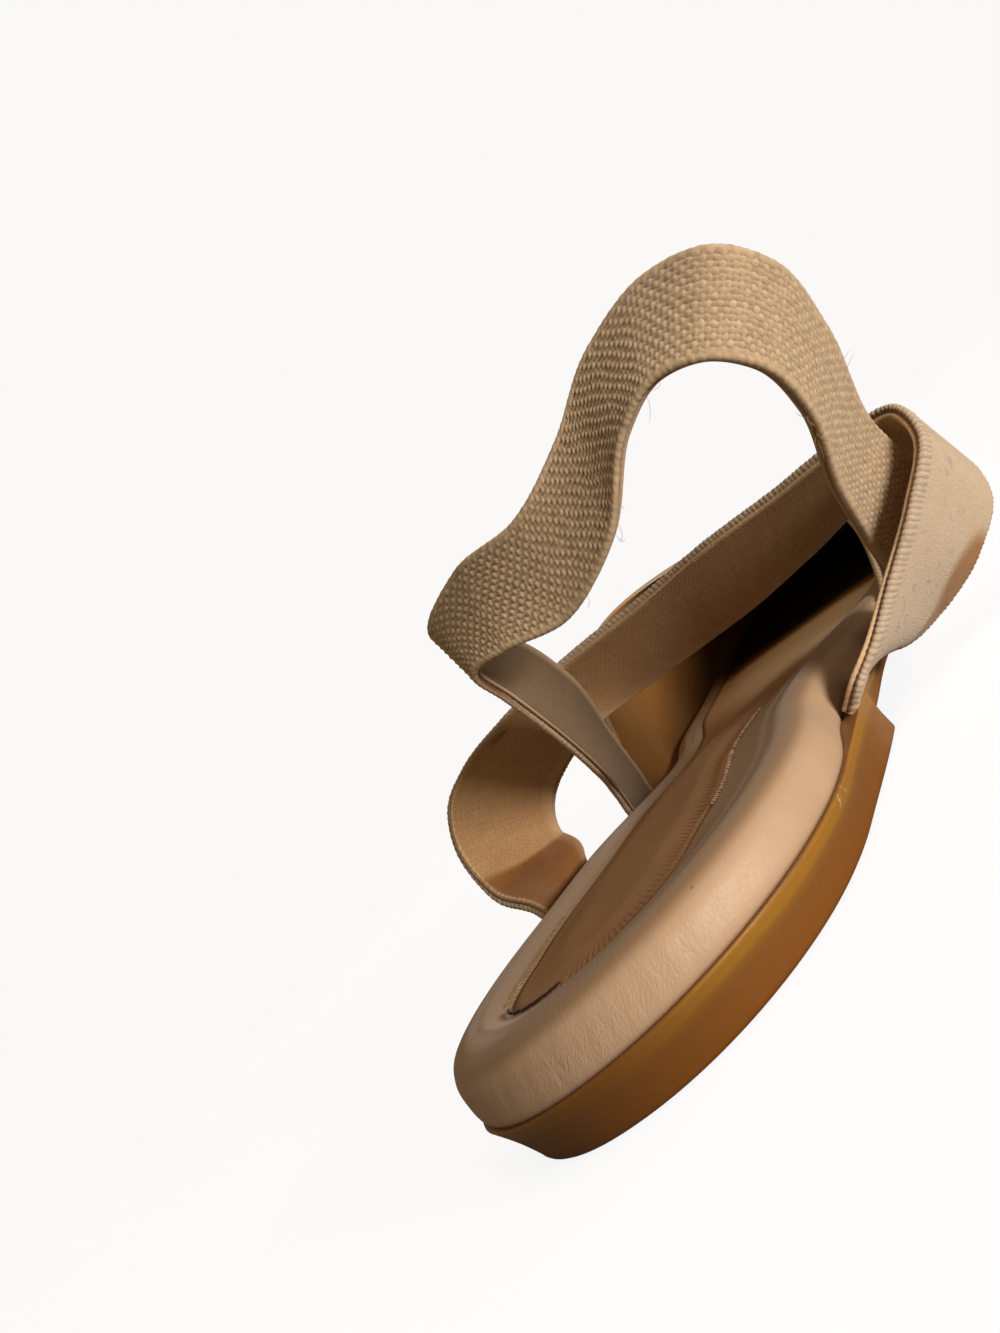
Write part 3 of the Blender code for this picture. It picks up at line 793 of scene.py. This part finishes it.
# Vamp
# Hollow toe of linen canvas, lasted under the footbed, over a lining painted near black as shade, with
# painted amber light low on its inner side towards the rear; a rolled edge closes it along the throat.
VAMP_WALL = 1.7
VAMP_INSET = 1.0
THROAT = 184.0
THROAT_POWER = 2.4
THROAT_SPREAD = 0.14
TOPLINE_REAR = {"inner": 20.0, "outer": 9.0}
TOPLINE_FRONT = 38.0
TOPLINE_INNER = 5.0
TOPLINE_POWER = {"inner": 9.0, "outer": 1.5}
TOE_ROLL = 85.0
REAR_ROLL = 40.0
SIDE_BULGE = 1.3
VAMP_ROWS = 44
CANVAS_LIGHT = (0.64, 0.49, 0.33)
CANVAS_DARK = (0.46, 0.33, 0.205)
# Painted shade: the lining inside the toe is near black
SHADED_LINING_LIGHT = (0.006, 0.003, 0.002)
SHADED_LINING_DARK = (0.004, 0.002, 0.0015)
CANVAS_SOIL = (0.34, 0.20, 0.10)
LINING_PAINTED_AMBER = (0.29, 0.125, 0.015)
# Painted light: amber half-light on the lining's inner side
CLOTH_STAIN = (0.055, 0.036, 0.020)
WORN_CLOTH = (0.80, 0.60, 0.40)


def vamp_walls():
    """Outer and inner wall: from the sole's edge up a rolling arc to the throat line, the run
    along it, and the share of the way from the toe to the rear on the inner side."""
    keep = RING_Y >= VAMP_REAR - 0.01
    plan = RING[keep] - VAMP_INSET * NORMAL[keep]
    out = NORMAL[keep]
    foot = np.column_stack([plan, sole_top(RING_Y[keep]) + GAP])
    run = np.concatenate([[0.0], np.cumsum(np.linalg.norm(np.diff(plan, axis=0), axis=1))])
    tip = int(np.argmax(RING_Y[keep]))
    outer_side = run <= run[tip]
    share = np.where(outer_side, 1.0 - run / run[tip], (run - run[tip]) / (run[-1] - run[tip]))
    turn = 0.5 * np.pi * (1.0 - share)
    wide = np.where(outer_side, abs(plan[0, 0]), abs(plan[-1, 0])) - 1.0
    back = np.sin(turn) ** (2.0 / THROAT_POWER)
    spread = 1.0 + THROAT_SPREAD * np.sin(2.0 * turn)
    top_x = np.where(outer_side, 1.0, -1.0) * wide * spread * np.cos(turn) ** (2.0 / THROAT_POWER)
    top_y = plan[0, 1] + (THROAT - plan[0, 1]) * back
    rear = np.where(outer_side, TOPLINE_REAR["outer"], TOPLINE_REAR["inner"])
    power = np.where(outer_side, TOPLINE_POWER["outer"], TOPLINE_POWER["inner"])
    top_z = rear + (TOPLINE_FRONT - rear) * (1.0 - share**power)
    top_z = top_z + np.where(outer_side, 0.0, TOPLINE_INNER) * np.sin(2.0 * turn)
    top = np.column_stack([top_x + 0.6 * TOE_SWING * back, top_y, top_z])
    roll = np.radians(TOE_ROLL + (REAR_ROLL - TOE_ROLL) * share**1.5)
    t = np.linspace(0.0, 0.975, VAMP_ROWS)[None, :]
    angle = roll[:, None] * t
    inward = (1.0 - np.cos(angle)) / (1.0 - np.cos(roll))[:, None]
    upward = (np.sin(angle) / np.sin(roll)[:, None]) ** 0.9
    rises = np.stack([inward, inward, upward], axis=-1)
    wall = foot[:, None, :] + (top - foot)[:, None, :] * rises
    bulge = SIDE_BULGE * np.sin(np.pi * t) * (0.3 + 0.7 * share[:, None])
    wall[:, :, :2] += out[:, None, :] * bulge[:, :, None]
    normal = np.cross(np.gradient(wall, axis=0), np.gradient(wall, axis=1))
    normal /= np.linalg.norm(normal, axis=2)[:, :, None]
    inner = wall - VAMP_WALL * normal
    inner[:, 0, :2] = wall[:, 0, :2] - VAMP_WALL * out
    inner[:, 0, 2] = wall[:, 0, 2]
    return wall, inner, normal, run, np.where(outer_side, 0.0, share)


def rolled_edge(wall, inner, normal, turns):
    """Half-round edge from the outer wall's last row over to the inner wall's."""
    middle = 0.5 * (wall[:, -1] + inner[:, -1])
    half = 0.5 * np.linalg.norm(wall[:, -1] - inner[:, -1], axis=1)[:, None, None]
    up = wall[:, -1] - wall[:, -2]
    up /= np.linalg.norm(up, axis=1)[:, None]
    turn = np.linspace(0.0, np.pi, turns + 2)[1:-1]
    round_off = np.cos(turn)[None, :, None] * normal[:, -1][:, None, :]
    round_off = round_off + np.sin(turn)[None, :, None] * up[:, None, :]
    return middle[:, None, :] + half * round_off


def swept(name, loops, uv, fields, materials, column_material):
    """Solid from closed loops carried along a path, with flat caps; a material for each column."""
    rows, cols = loops.shape[:2]
    numbers = np.arange(rows * cols).reshape(rows, cols)
    ring = np.concatenate([numbers, numbers[:, :1]], axis=1)
    half = np.arange(cols // 2 - 1)
    first = np.stack([half, half + 1, cols - 2 - half, cols - 1 - half], axis=-1)
    last = first[:, ::-1] + (rows - 1) * cols
    faces = np.concatenate([quads(ring)[:, ::-1], first, last])
    chosen = np.concatenate([np.tile(column_material, rows - 1), np.zeros(2 * len(half), dtype=int)])
    corner_uv = uv.reshape(-1, 2)[faces]
    return add_piece(name, loops.reshape(-1, 3), faces, corner_uv, fields, materials, chosen)


def plain_weave():
    """Group: two crossing sets of yarns at a pitch, as a height and a tint."""
    group = bpy.data.node_groups.new("plain_weave", "ShaderNodeTree")
    group.interface.new_socket("Vector", in_out="INPUT", socket_type="NodeSocketVector")
    group.interface.new_socket("Pitch", in_out="INPUT", socket_type="NodeSocketFloat")
    for result in ("Height", "Tint"):
        group.interface.new_socket(result, in_out="OUTPUT", socket_type="NodeSocketFloat")
    given = put(group, "NodeGroupInput")
    rough = noise(group, given.outputs["Vector"], 0.9, 2.0)
    parts = put(group, "ShaderNodeSeparateXYZ", {0: given.outputs["Vector"]})
    turn = calc(group, "DIVIDE", np.pi, given.outputs["Pitch"])
    u = calc(group, "MULTIPLY_ADD", parts.outputs[0], turn, times(group, rough, 2.2))
    v = calc(group, "MULTIPLY_ADD", parts.outputs[1], turn, times(group, rough, -1.7))
    checks = times(group, calc(group, "COSINE", u), calc(group, "COSINE", v))
    ribs = calc(group, "ABSOLUTE", calc(group, "SINE", v))
    height = calc(group, "MULTIPLY_ADD", checks, 0.35, calc(group, "MULTIPLY_ADD", ribs, 0.25, 0.4))
    streak = put(group, "ShaderNodeMapping", {"Vector": given.outputs["Vector"], "Scale": (0.25, 3.2, 1.0)})
    cross = put(group, "ShaderNodeMapping", {"Vector": given.outputs["Vector"], "Scale": (3.2, 0.25, 1.0)})
    along = noise(group, streak.outputs[0], 1.0, 2.0)
    tint = calc(group, "ADD", along, noise(group, cross.outputs[0], 1.0, 2.0))
    put(group, "NodeGroupOutput", {"Height": height, "Tint": times(group, tint, 0.5)})
    return group


PLAIN_WEAVE = plain_weave()


def cloth(name, light, dark, soiled_and_painted, pitch, gaps, relief):
    """Woven cloth by the piece's map: yarn tints, painted shade in gaps; soil and painted light, stains, wear
    by fields.
    """
    material, tree, shader = new_material(
        name, Roughness=0.92, Sheen_Weight=0.10, Sheen_Roughness=0.6, Specular_IOR_Level=0.2,
    )
    coords = put(tree, "ShaderNodeTexCoord")
    woven = put(tree, "ShaderNodeGroup", node_tree=PLAIN_WEAVE)
    tree.links.new(coords.outputs["UV"], woven.inputs["Vector"])
    woven.inputs["Pitch"].default_value = pitch
    shade = span(tree, woven.outputs["Tint"], 0.38, 0.62)
    colour = mixed(tree, shade, dark, light)
    # Painted shade in the gaps between yarns
    gap = span(tree, woven.outputs["Height"], 0.15, 0.55, gaps, 0.0)
    colour = mixed(tree, gap, colour, [0.45 * c for c in dark])
    patch = span(tree, noise(tree, coords.outputs["Object"], 70.0, 4.0, 0.6), 0.35, 0.70, 0.82, 1.0)
    # Soil on the vamp's canvas; painted light on the vamp's lining and painted shade on the straps' linings
    colour = mixed(tree, times(tree, field(tree, "soil_and_painted_light"), patch), colour, soiled_and_painted)
    stain = times(tree, field(tree, "stain"), patch)
    colour = mixed(tree, stain, colour, CLOTH_STAIN)
    colour = mixed(tree, times(tree, field(tree, "worn"), 0.6), colour, WORN_CLOTH)
    tree.links.new(colour, shader.inputs["Base Color"])
    fuzz = noise(tree, coords.outputs["Object"], 3500.0, 3.0, 0.7)
    height = calc(tree, "MULTIPLY_ADD", fuzz, 0.35, woven.outputs["Height"])
    bump(tree, shader, height, relief)
    return material


wall, inner, normal, run, inner_rear = vamp_walls()
edge = rolled_edge(wall, inner, normal, 8)
loops = np.concatenate([wall, edge, inner[:, ::-1]], axis=1)
up_wall = np.cumsum(np.linalg.norm(np.diff(loops, axis=1), axis=2), axis=1)
up_wall = np.concatenate([np.zeros((len(loops), 1)), up_wall], axis=1)
uv = np.stack([np.broadcast_to(run[:, None], up_wall.shape), up_wall], axis=-1)
column = np.arange(loops.shape[1])
inside = (column >= VAMP_ROWS + 4).astype(int)
# Painted light on the lining: amber low down along the inner side, over its whole height towards the rear;
# the canvas outside gets an even light soil
low = ease(0.25, 0.75, (column - VAMP_ROWS - 4) / VAMP_ROWS)
amber = ease(0.0, 0.35, inner_rear)[:, None] * low[None, :]
amber = np.maximum(amber, ease(0.30, 0.55, inner_rear)[:, None]) * inside[None, :]
vamp = swept(
    "vamp_canvas", loops, uv,
    {"soil_and_painted_light": np.maximum(amber, 0.15 * (1 - inside)[None, :])},
    [
        cloth("linen_canvas", CANVAS_LIGHT, CANVAS_DARK, CANVAS_SOIL, 0.62, 0.55, 1.2e-4),
        cloth("vamp_lining", SHADED_LINING_LIGHT, SHADED_LINING_DARK, LINING_PAINTED_AMBER, 0.42, 0.1, 3e-5),
    ],
    inside,
)
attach(vamp, "root")
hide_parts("vamp")

# Instep band
# Linen webbing, felted on its face and overcast along its rear edge, over a woven lining, with a brown line
# between the two layers; it stands on the sole's margin at both sides and bows over the instep.
BAND_ENDS = {"inner": (60.0, 78.0), "outer": (58.0, 76.0)}
BAND_LEAN = {"inner": 0.6, "outer": 1.5}
# Rear edge x y z, front edge x y z, from the inner side over to the outer side
BAND = np.array([
    (-34.0, 64.0, 14.5, -28.6, 81.0, 15.0),
    (-41.5, 69.0, 20.0, -31.0, 83.5, 19.0),
    (-43.7, 74.0, 29.8, -29.0, 84.5, 23.0),
    (-41.8, 78.0, 35.7, -27.0, 87.0, 25.0),
    (-36.5, 83.0, 39.2, -22.8, 91.0, 26.7),
    (-26.9, 88.0, 40.5, -16.7, 95.5, 27.3),
    (-11.9, 91.0, 40.1, -8.5, 102.0, 26.3),
    (6.3, 93.0, 38.0, 4.5, 105.0, 24.5),
    (19.9, 93.0, 37.0, 16.5, 105.0, 23.2),
    (33.9, 92.0, 34.9, 29.5, 104.9, 23.0),
    (47.5, 88.0, 33.3, 43.5, 102.9, 23.0),
    (56.0, 84.0, 31.0, 55.6, 99.6, 18.2),
    (56.0, 80.0, 26.5, 55.6, 94.4, 12.6),
    (49.5, 74.0, 20.8, 49.6, 88.8, 7.9),
    (40.5, 67.0, 15.0, 40.3, 84.0, 5.6),
    (35.6, 62.2, 11.8, 35.0, 79.4, 6.1),
])
WEB_THICK = 2.0
WARP_PITCH = 0.86
WEFT_PITCH = 0.74
BAND_RELIEF = 0.03
BAND_OVERCAST = 1.75
BAND_RIB = 0.84
BAND_RIB_RELIEF = 0.19
WEB_EDGE = 0.62
LINING_EDGE = 0.36
LINING_SET = 0.16
GROOVE_DEPTH = 0.35
GROOVE_DROP = 0.02
FULL_WEAVE = 0.3
FULL_RIB = 0.18
WEB_INSET = 0.6
RISE = {"inner": 4.5, "outer": 2.0}
FELT_LIGHT = (0.72, 0.58, 0.435)
FELT_DARK = (0.60, 0.47, 0.335)
WEB_SLUB = (0.36, 0.295, 0.225)
WEB_LINE = (0.16, 0.055, 0.022)
WEB_PAINTED_SHADE = (0.37, 0.165, 0.040)
WOVEN_LIGHT = (0.72, 0.50, 0.275)
WOVEN_DARK = (0.56, 0.37, 0.195)
WOVEN_PAINTED_SHADE = (0.20, 0.075, 0.014)


def standing(side, ends, rise, lean):
    """Two rows where a strap stands on the sole's margin: its foot, and a line above it that leans out."""
    y = np.array(ends)
    column, sign = (1, -1.0) if side == "inner" else (2, 1.0)
    x = sign * (half_width(y, column) - WEB_INSET - 0.5 * WEB_THICK)
    z = sole_top(y) + GAP
    leant = x + sign * lean * rise
    return np.column_stack([x, y, z]).ravel(), np.column_stack([leant, y, z + rise]).ravel()


def strap_edges(table, ends, lean, step):
    """Both edges of a strap at even steps along its middle, and the run there."""
    low_in, high_in = standing("inner", ends["inner"], RISE["inner"], lean["inner"])
    low_out, high_out = standing("outer", ends["outer"], RISE["outer"], lean["outer"])
    rows = np.vstack([low_in, high_in, table, high_out, low_out])
    middle = 0.5 * (rows[:, :3] + rows[:, 3:])
    knots = np.concatenate([[0.0], np.cumsum(np.linalg.norm(np.diff(middle, axis=0), axis=1))])
    run = np.linspace(0.0, knots[-1], int(knots[-1] / step) + 1)
    edges = np.column_stack([through(run, knots, rows[:, c]) for c in range(6)])
    return run, edges[:, :3], edges[:, 3:]


def web_section(face, lining):
    """Closed section of two layers: share across, offset across, offset out, kind of surface.

    Kinds: 0 woven face, 1 its edge, 2 the line between the layers, 3 lining.
    """
    turn = np.radians(np.linspace(-80.0, 90.0, 9))
    low = np.radians(np.linspace(-90.0, 75.0, 6))
    over = np.linspace(0.0, 1.0, face + 2)[1:-1]
    under = np.linspace(1.0, 0.0, lining + 2)[1:-1] ** 2
    half = 0.5 * WEB_THICK
    web_across = WEB_EDGE * np.cos(turn)
    web_out = half - WEB_EDGE + WEB_EDGE * np.sin(turn)
    low_across = LINING_EDGE * np.cos(low) - LINING_SET
    low_out = LINING_EDGE - half + LINING_EDGE * np.sin(low)
    groove = LINING_SET + GROOVE_DEPTH
    level = half - 2.0 * WEB_EDGE - GROOVE_DROP
    stretches = (
        (0.0, -web_across, web_out, 1.0),
        (over, 0.0, half, 0.0),
        (1.0, web_across[::-1], web_out[::-1], 1.0),
        (1.0, -groove, level, 2.0),
        (1.0, low_across[::-1], low_out[::-1], 3.0),
        (under, 0.0, -half, 3.0),
        (0.0, -low_across, low_out, 3.0),
        (0.0, groove, level, 2.0),
    )
    return np.hstack([np.stack(np.broadcast_arrays(*np.atleast_1d(*stretch))) for stretch in stretches])


def woven(u, v, seed):
    """Plain weave of round yarns that ride over and under each other: height 0 to 1, and a tint."""
    dice = np.random.default_rng(seed)
    v = v + 0.10 * np.sin(0.9 * u) + 0.07 * np.sin(2.3 * u + 1.3 * v)
    u = u + 0.09 * np.sin(1.1 * v + 0.5) + 0.08 * np.sin(0.37 * u)
    i = np.floor(u / WEFT_PITCH).astype(int)
    j = np.floor(v / WARP_PITCH).astype(int)
    in_u = u / WEFT_PITCH - i - 0.5
    in_v = v / WARP_PITCH - j - 0.5
    fat_warp = dice.uniform(0.88, 1.08, 64)[j % 64]
    fat_weft = dice.uniform(0.80, 1.10, 512)[i % 512]
    over_warp = np.cos(np.pi * (u / WEFT_PITCH - 0.5) + np.pi * j)
    over_weft = -np.cos(np.pi * (v / WARP_PITCH - 0.5) + np.pi * i)
    warp = 0.50 * over_warp + 0.90 * fat_warp * np.sqrt(np.clip(1.0 - (in_v / 0.56) ** 2, 0.0, 1.0))
    weft = 0.50 * over_weft + 0.60 * fat_weft * np.sqrt(np.clip(1.0 - (in_u / 0.56) ** 2, 0.0, 1.0))
    height = np.clip((np.maximum(warp, weft) - 0.25) / 1.15, 0.0, 1.1)
    tint_warp = dice.uniform(0.15, 0.85, 64)[j % 64]
    tint_weft = dice.uniform(0.15, 0.85, 512)[i % 512]
    cell = dice.uniform(-0.22, 0.22, (512, 64))[i % 512, j % 64]
    return height, np.clip(np.where(warp > weft, 0.25 + 0.75 * tint_warp, 0.6 * tint_weft) + cell, 0.0, 1.0)


def web_loops(run, rear, front, section, relief, overcast, pitch, rib_relief, seed):
    """Loops of a strap: its section set across between its edges, with the weave raised by a relief.

    Ribs at a pitch run round both edges, and over the face beside the rear edge where it is overcast.
    """
    share, across, out, kind = section
    width = np.linalg.norm(front - rear, axis=1)
    over = (front - rear) / width[:, None]
    normal = np.cross(np.gradient(0.5 * (rear + front), axis=0), over)
    normal /= np.linalg.norm(normal, axis=1)[:, None]
    at = WEB_EDGE + share[None, :] * (width[:, None] - 2.0 * WEB_EDGE)
    u = np.broadcast_to(run[:, None], at.shape)
    height, tint = woven(u, at, seed)
    stitched = (kind == 0)[None, :] * (1.0 - ease(overcast - 0.5, overcast, at - WEB_EDGE))
    inside = np.minimum(at - WEB_EDGE, width[:, None] - WEB_EDGE - at)
    face = (kind == 0)[None, :] * ease(0.0, 0.7, inside) * (1.0 - stitched)
    uneven = 0.35 * np.sin(0.83 * u) + 0.25 * np.sin(2.1 * u + 0.7)
    rib = np.pi * u / pitch + uneven + 1.2 * out[None, :] * np.sign(0.5 - share)[None, :]
    rib = rib + 1.1 * (at - WEB_EDGE) * stitched
    number = np.floor(rib / np.pi + 0.5).astype(int)
    thick = np.random.default_rng(seed + 1).uniform(0.6, 1.0, 512)[number % 512]
    rib = thick * np.abs(np.cos(rib)) ** 0.7
    edge = (kind == 1)[None, :] * 1.0
    raised = out[None, :] + face * relief * (height - 0.85) + stitched * rib_relief * (rib - 0.4)
    grow = 1.0 + edge * rib_relief / WEB_EDGE * (rib - 0.6)
    centre = 0.5 * WEB_THICK - WEB_EDGE
    raised = np.where(kind[None, :] == 1, centre + (out[None, :] - centre) * grow, raised)
    beside = at + across[None, :] * grow
    loops = rear[:, None, :] + over[:, None, :] * beside[:, :, None] + normal[:, None, :] * raised[:, :, None]
    weave = min(1.0, relief / FULL_WEAVE)
    ribs = min(1.0, rib_relief / FULL_RIB)
    # Depth: how far down the weave or ribs a point lies, for painted shade in the gaps
    depth = face * (1.0 - weave * (1.0 - height)) + (1.0 - face) * (1.0 - ribs * (0.85 - 0.8 * rib))
    tint = 0.6 + (0.25 + 0.75 * weave) * (tint - 0.6)
    return loops, u, at + across[None, :], depth, tint


def webbing(name, light, dark, gaps, fuzz):
    """Linen webbing: each yarn its own tint, painted shade in the gaps and by a field, fuzzy, a few grey
    slubs.
    """
    material, tree, shader = new_material(
        name, Roughness=0.93, Sheen_Weight=0.30, Sheen_Roughness=0.5, Specular_IOR_Level=0.2,
    )
    where = put(tree, "ShaderNodeTexCoord").outputs["Object"]
    fibres = put(tree, "ShaderNodeMapping", {"Vector": where, "Scale": (1.0, 0.45, 0.6)}).outputs[0]
    mottle = calc(tree, "MULTIPLY_ADD", noise(tree, fibres, 1500.0, 3.0, 0.65), 0.9, -0.45)
    tint = calc(tree, "ADD", field(tree, "tint"), mottle)
    colour = mixed(tree, tint, dark, light)
    # Painted shade in the gaps between yarns
    gap = span(tree, field(tree, "depth"), 0.08, 0.66, gaps, 0.0)
    colour = mixed(tree, gap, colour, [0.30 * c for c in dark])
    slub = span(tree, noise(tree, where, 420.0, 3.0, 0.6), 0.58, 0.72, 0.0, 0.5)
    colour = mixed(tree, slub, colour, WEB_SLUB)
    line = field(tree, "line")
    colour = mixed(tree, times(tree, line, 0.85), colour, WEB_LINE)
    patch = span(tree, noise(tree, where, 160.0, 4.0, 0.6), 0.35, 0.65, 0.80, 1.0)
    soil_and_painted_light = times(tree, field(tree, "soil_and_painted_light"), patch)
    # Painted shade on the face by the strap's ends and marks
    colour = mixed(tree, soil_and_painted_light, colour, WEB_PAINTED_SHADE)
    tree.links.new(colour, shader.inputs["Base Color"])
    bump(tree, shader, noise(tree, fibres, 3400.0, 4.0, 0.75), fuzz)
    return material


WEB_LINING = cloth("webbing_lining", WOVEN_LIGHT, WOVEN_DARK, WOVEN_PAINTED_SHADE, 0.52, 0.24, 5e-5)
LINEN_FELT = webbing("linen_felt", FELT_LIGHT, FELT_DARK, 0.75, 0.00020)


def add_strap(
    name, table, ends, lean, section, step, weave, seed, materials, rubbed, line_from, foot_shade_to, marks,
):
    """Webbing strap with its fields: tint, depth, brown line, rubbed lining edges, painted shade at its ends,
    marks.
    """
    run, rear, front = strap_edges(table, ends, lean, step)
    kind = section[3]
    loops, u, across, depth, tint = web_loops(run, rear, front, section, *weave, seed)
    below = section[2] - 0.5 * WEB_THICK + WEB_EDGE
    line = np.where(kind == 2, 1.0, np.where(kind == 1, ease(-0.05, -0.40, below), 0.0))
    line = line[None, :] * ease(line_from - 15.0, line_from + 5.0, u)
    # Painted shade where the strap meets the sole at both ends: full on the lining, faint on the face
    foot = 1.0 - ease(foot_shade_to - 3.0, foot_shade_to, u + 0.3 * across)
    soil_and_painted_light = np.maximum(foot, ease(run[-1] - 8.0, run[-1], u)) * np.where(kind >= 2, 1.0, 0.10)[None, :]
    worn = np.broadcast_to(((kind == 3) & (section[1] != 0.0))[None, :] * rubbed, u.shape)
    overcast = weave[1]
    wrapped = (1.0 - ease(0.5 * overcast, 0.5 * overcast + 0.5, across)) * min(1.0, overcast)
    worn = np.maximum(worn, wrapped * (kind == 3)[None, :] * depth)
    stain = np.zeros_like(u)
    for at_run, at_across, long, wide, soiled_and_painted, stained, low_kind in marks:
        spot = 1.0 - ease(0.65, 1.15, np.hypot((u - at_run) / long, (across - at_across) / wide))
        spot = spot * (kind >= low_kind)[None, :] * (kind <= low_kind + 2)[None, :]
        soil_and_painted_light = np.maximum(soil_and_painted_light, soiled_and_painted * spot)
        stain = np.maximum(stain, stained * spot)
    uv = np.stack([u, across], axis=-1)
    fields = {"tint": tint, "depth": depth, "line": line, "soil_and_painted_light": soil_and_painted_light, "stain": stain, "worn": worn}
    return swept(name, loops, uv, fields, materials, (kind >= 2).astype(int))


# Marks on the band: run, across, half length, half width, painted shade, staining, lowest kind of surface.
# The first is painted shade over the lining of the inner loop, the last two painted shade on the face by the
# outer lobe's front edge; the other two are stains.
BAND_MARKS = (
    (0.0, 9.0, 85.0, 100.0, 0.55, 0.0, 3),
    (44.0, 2.6, 1.9, 0.8, 0.0, 0.6, 3),
    (46.5, 5.0, 2.8, 0.5, 0.0, 0.35, 3),
    (150.5, 18.6, 8.5, 4.6, 1.0, 0.0, 0),
    (160.0, 17.8, 13.0, 2.2, 0.9, 0.0, 0),
)
band = add_strap(
    "instep_band_web", BAND, BAND_ENDS, BAND_LEAN, web_section(44, 14), 0.18,
    (BAND_RELIEF, BAND_OVERCAST, BAND_RIB, BAND_RIB_RELIEF), 7,
    [LINEN_FELT, WEB_LINING], 0.4, 120.0, 23.0, BAND_MARKS,
)
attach(band, "root")
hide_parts("instep_band")

# Heel sling
# The same webbing, narrower and with its weave open, from the waist's inner side back round the heel and
# over to the outer side, with a thin brown lining and a few loose fibres at its edges.
SLING_ENDS = {"inner": (96.0, 111.0), "outer": (94.0, 109.0)}
SLING_LEAN = {"inner": 0.0, "outer": 1.35}
# Lower edge x y z, upper edge x y z, from the inner side back over to the outer side
SLING = np.array([
    (-22.5, 91.5, 16.0, -23.5, 106.0, 16.0),
    (-15.5, 79.0, 22.8, -15.8, 93.0, 25.8),
    (-10.5, 68.0, 31.9, -8.2, 81.5, 38.2),
    (-7.6, 60.0, 40.4, -7.6, 72.8, 49.0),
    (-6.3, 56.0, 45.8, -11.6, 65.3, 56.0),
    (1.0, 54.0, 45.0, 1.6, 59.3, 59.0),
    (11.4, 54.0, 41.8, 14.9, 56.0, 56.9),
    (24.1, 52.7, 44.9, 26.8, 57.4, 59.8),
    (35.0, 52.0, 52.4, 38.5, 59.5, 64.8),
    (42.4, 52.0, 54.0, 49.4, 59.5, 65.2),
    (47.7, 52.5, 51.4, 56.9, 59.0, 61.5),
    (51.0, 55.5, 46.4, 60.2, 63.5, 55.2),
    (50.5, 61.5, 39.0, 58.5, 71.5, 46.0),
    (45.0, 69.5, 29.2, 53.0, 81.0, 33.4),
    (41.1, 79.2, 20.5, 51.3, 91.0, 22.4),
    (37.1, 89.2, 12.5, 43.0, 102.6, 14.6),
])
SLING_RELIEF = 0.44
SLING_RIB = 1.05
SLING_RIB_RELIEF = 0.11
WEB_LIGHT = (0.66, 0.50, 0.335)
WEB_DARK = (0.46, 0.335, 0.205)
BACK_LIGHT = (0.20, 0.138, 0.080)
BACK_DARK = (0.17, 0.115, 0.065)
BACK_PAINTED_SHADE = (0.25, 0.100, 0.024)
FIBRE_RADIUS = 0.03
FIBRE_TONE = 0.35
# Loose fibres: run along the sling, spread along it, edge, 0 lower and 1 upper, how many
FIBRES = (
    (156.0, 2.5, 0, 9),
    (105.0, 16.0, 0, 7),
    (165.0, 9.0, 1, 6),
)


def loose_fibres(run, rear, front):
    """Fine fibres off a strap's edges: each starts on the edge, runs outwards and curls to one side."""
    dice = np.random.default_rng(41)
    walk = THREAD_WALK[None, :, None]
    fibres = []
    for at_run, spread, edge, count in FIBRES:
        places = at_run + spread * dice.normal(0.0, 1.0, count)
        start, other = (rear, front) if edge == 0 else (front, rear)
        start = np.column_stack([np.interp(places, run, start[:, c]) for c in range(3)])
        other = np.column_stack([np.interp(places, run, other[:, c]) for c in range(3)])
        out = (start - other) / np.linalg.norm(start - other, axis=1)[:, None]
        out = (out + dice.uniform(-0.6, 0.6, (count, 3))) * dice.uniform(1.2, 3.2, count)[:, None]
        curl = dice.uniform(-1.8, 1.8, (count, 3))
        fibres.append(start[:, None, :] + out[:, None, :] * walk + curl[:, None, :] * walk**2)
    return np.concatenate(fibres)


SLING_LINING = cloth("sling_lining", BACK_LIGHT, BACK_DARK, BACK_PAINTED_SHADE, 0.45, 0.12, 3e-5)
LINEN_WEB = webbing("linen_webbing", WEB_LIGHT, WEB_DARK, 0.85, 0.00010)
sling = add_strap(
    "sling_strap_web", SLING, SLING_ENDS, SLING_LEAN, web_section(66, 14), 0.24,
    (SLING_RELIEF, 0.0, SLING_RIB, SLING_RIB_RELIEF), 19, [LINEN_WEB, SLING_LINING], 0.9, 60.0, 0.0, (),
)
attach(sling, "root")
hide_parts("sling_strap")

fibres = loose_fibres(*strap_edges(SLING, SLING_ENDS, SLING_LEAN, 0.5))
tubes = stitch_tubes(fibres, THREAD_WALK, FIBRE_RADIUS)
fray = add_threads("sling_fibres", tubes, np.full(len(tubes), FIBRE_TONE))
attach(fray, "root")
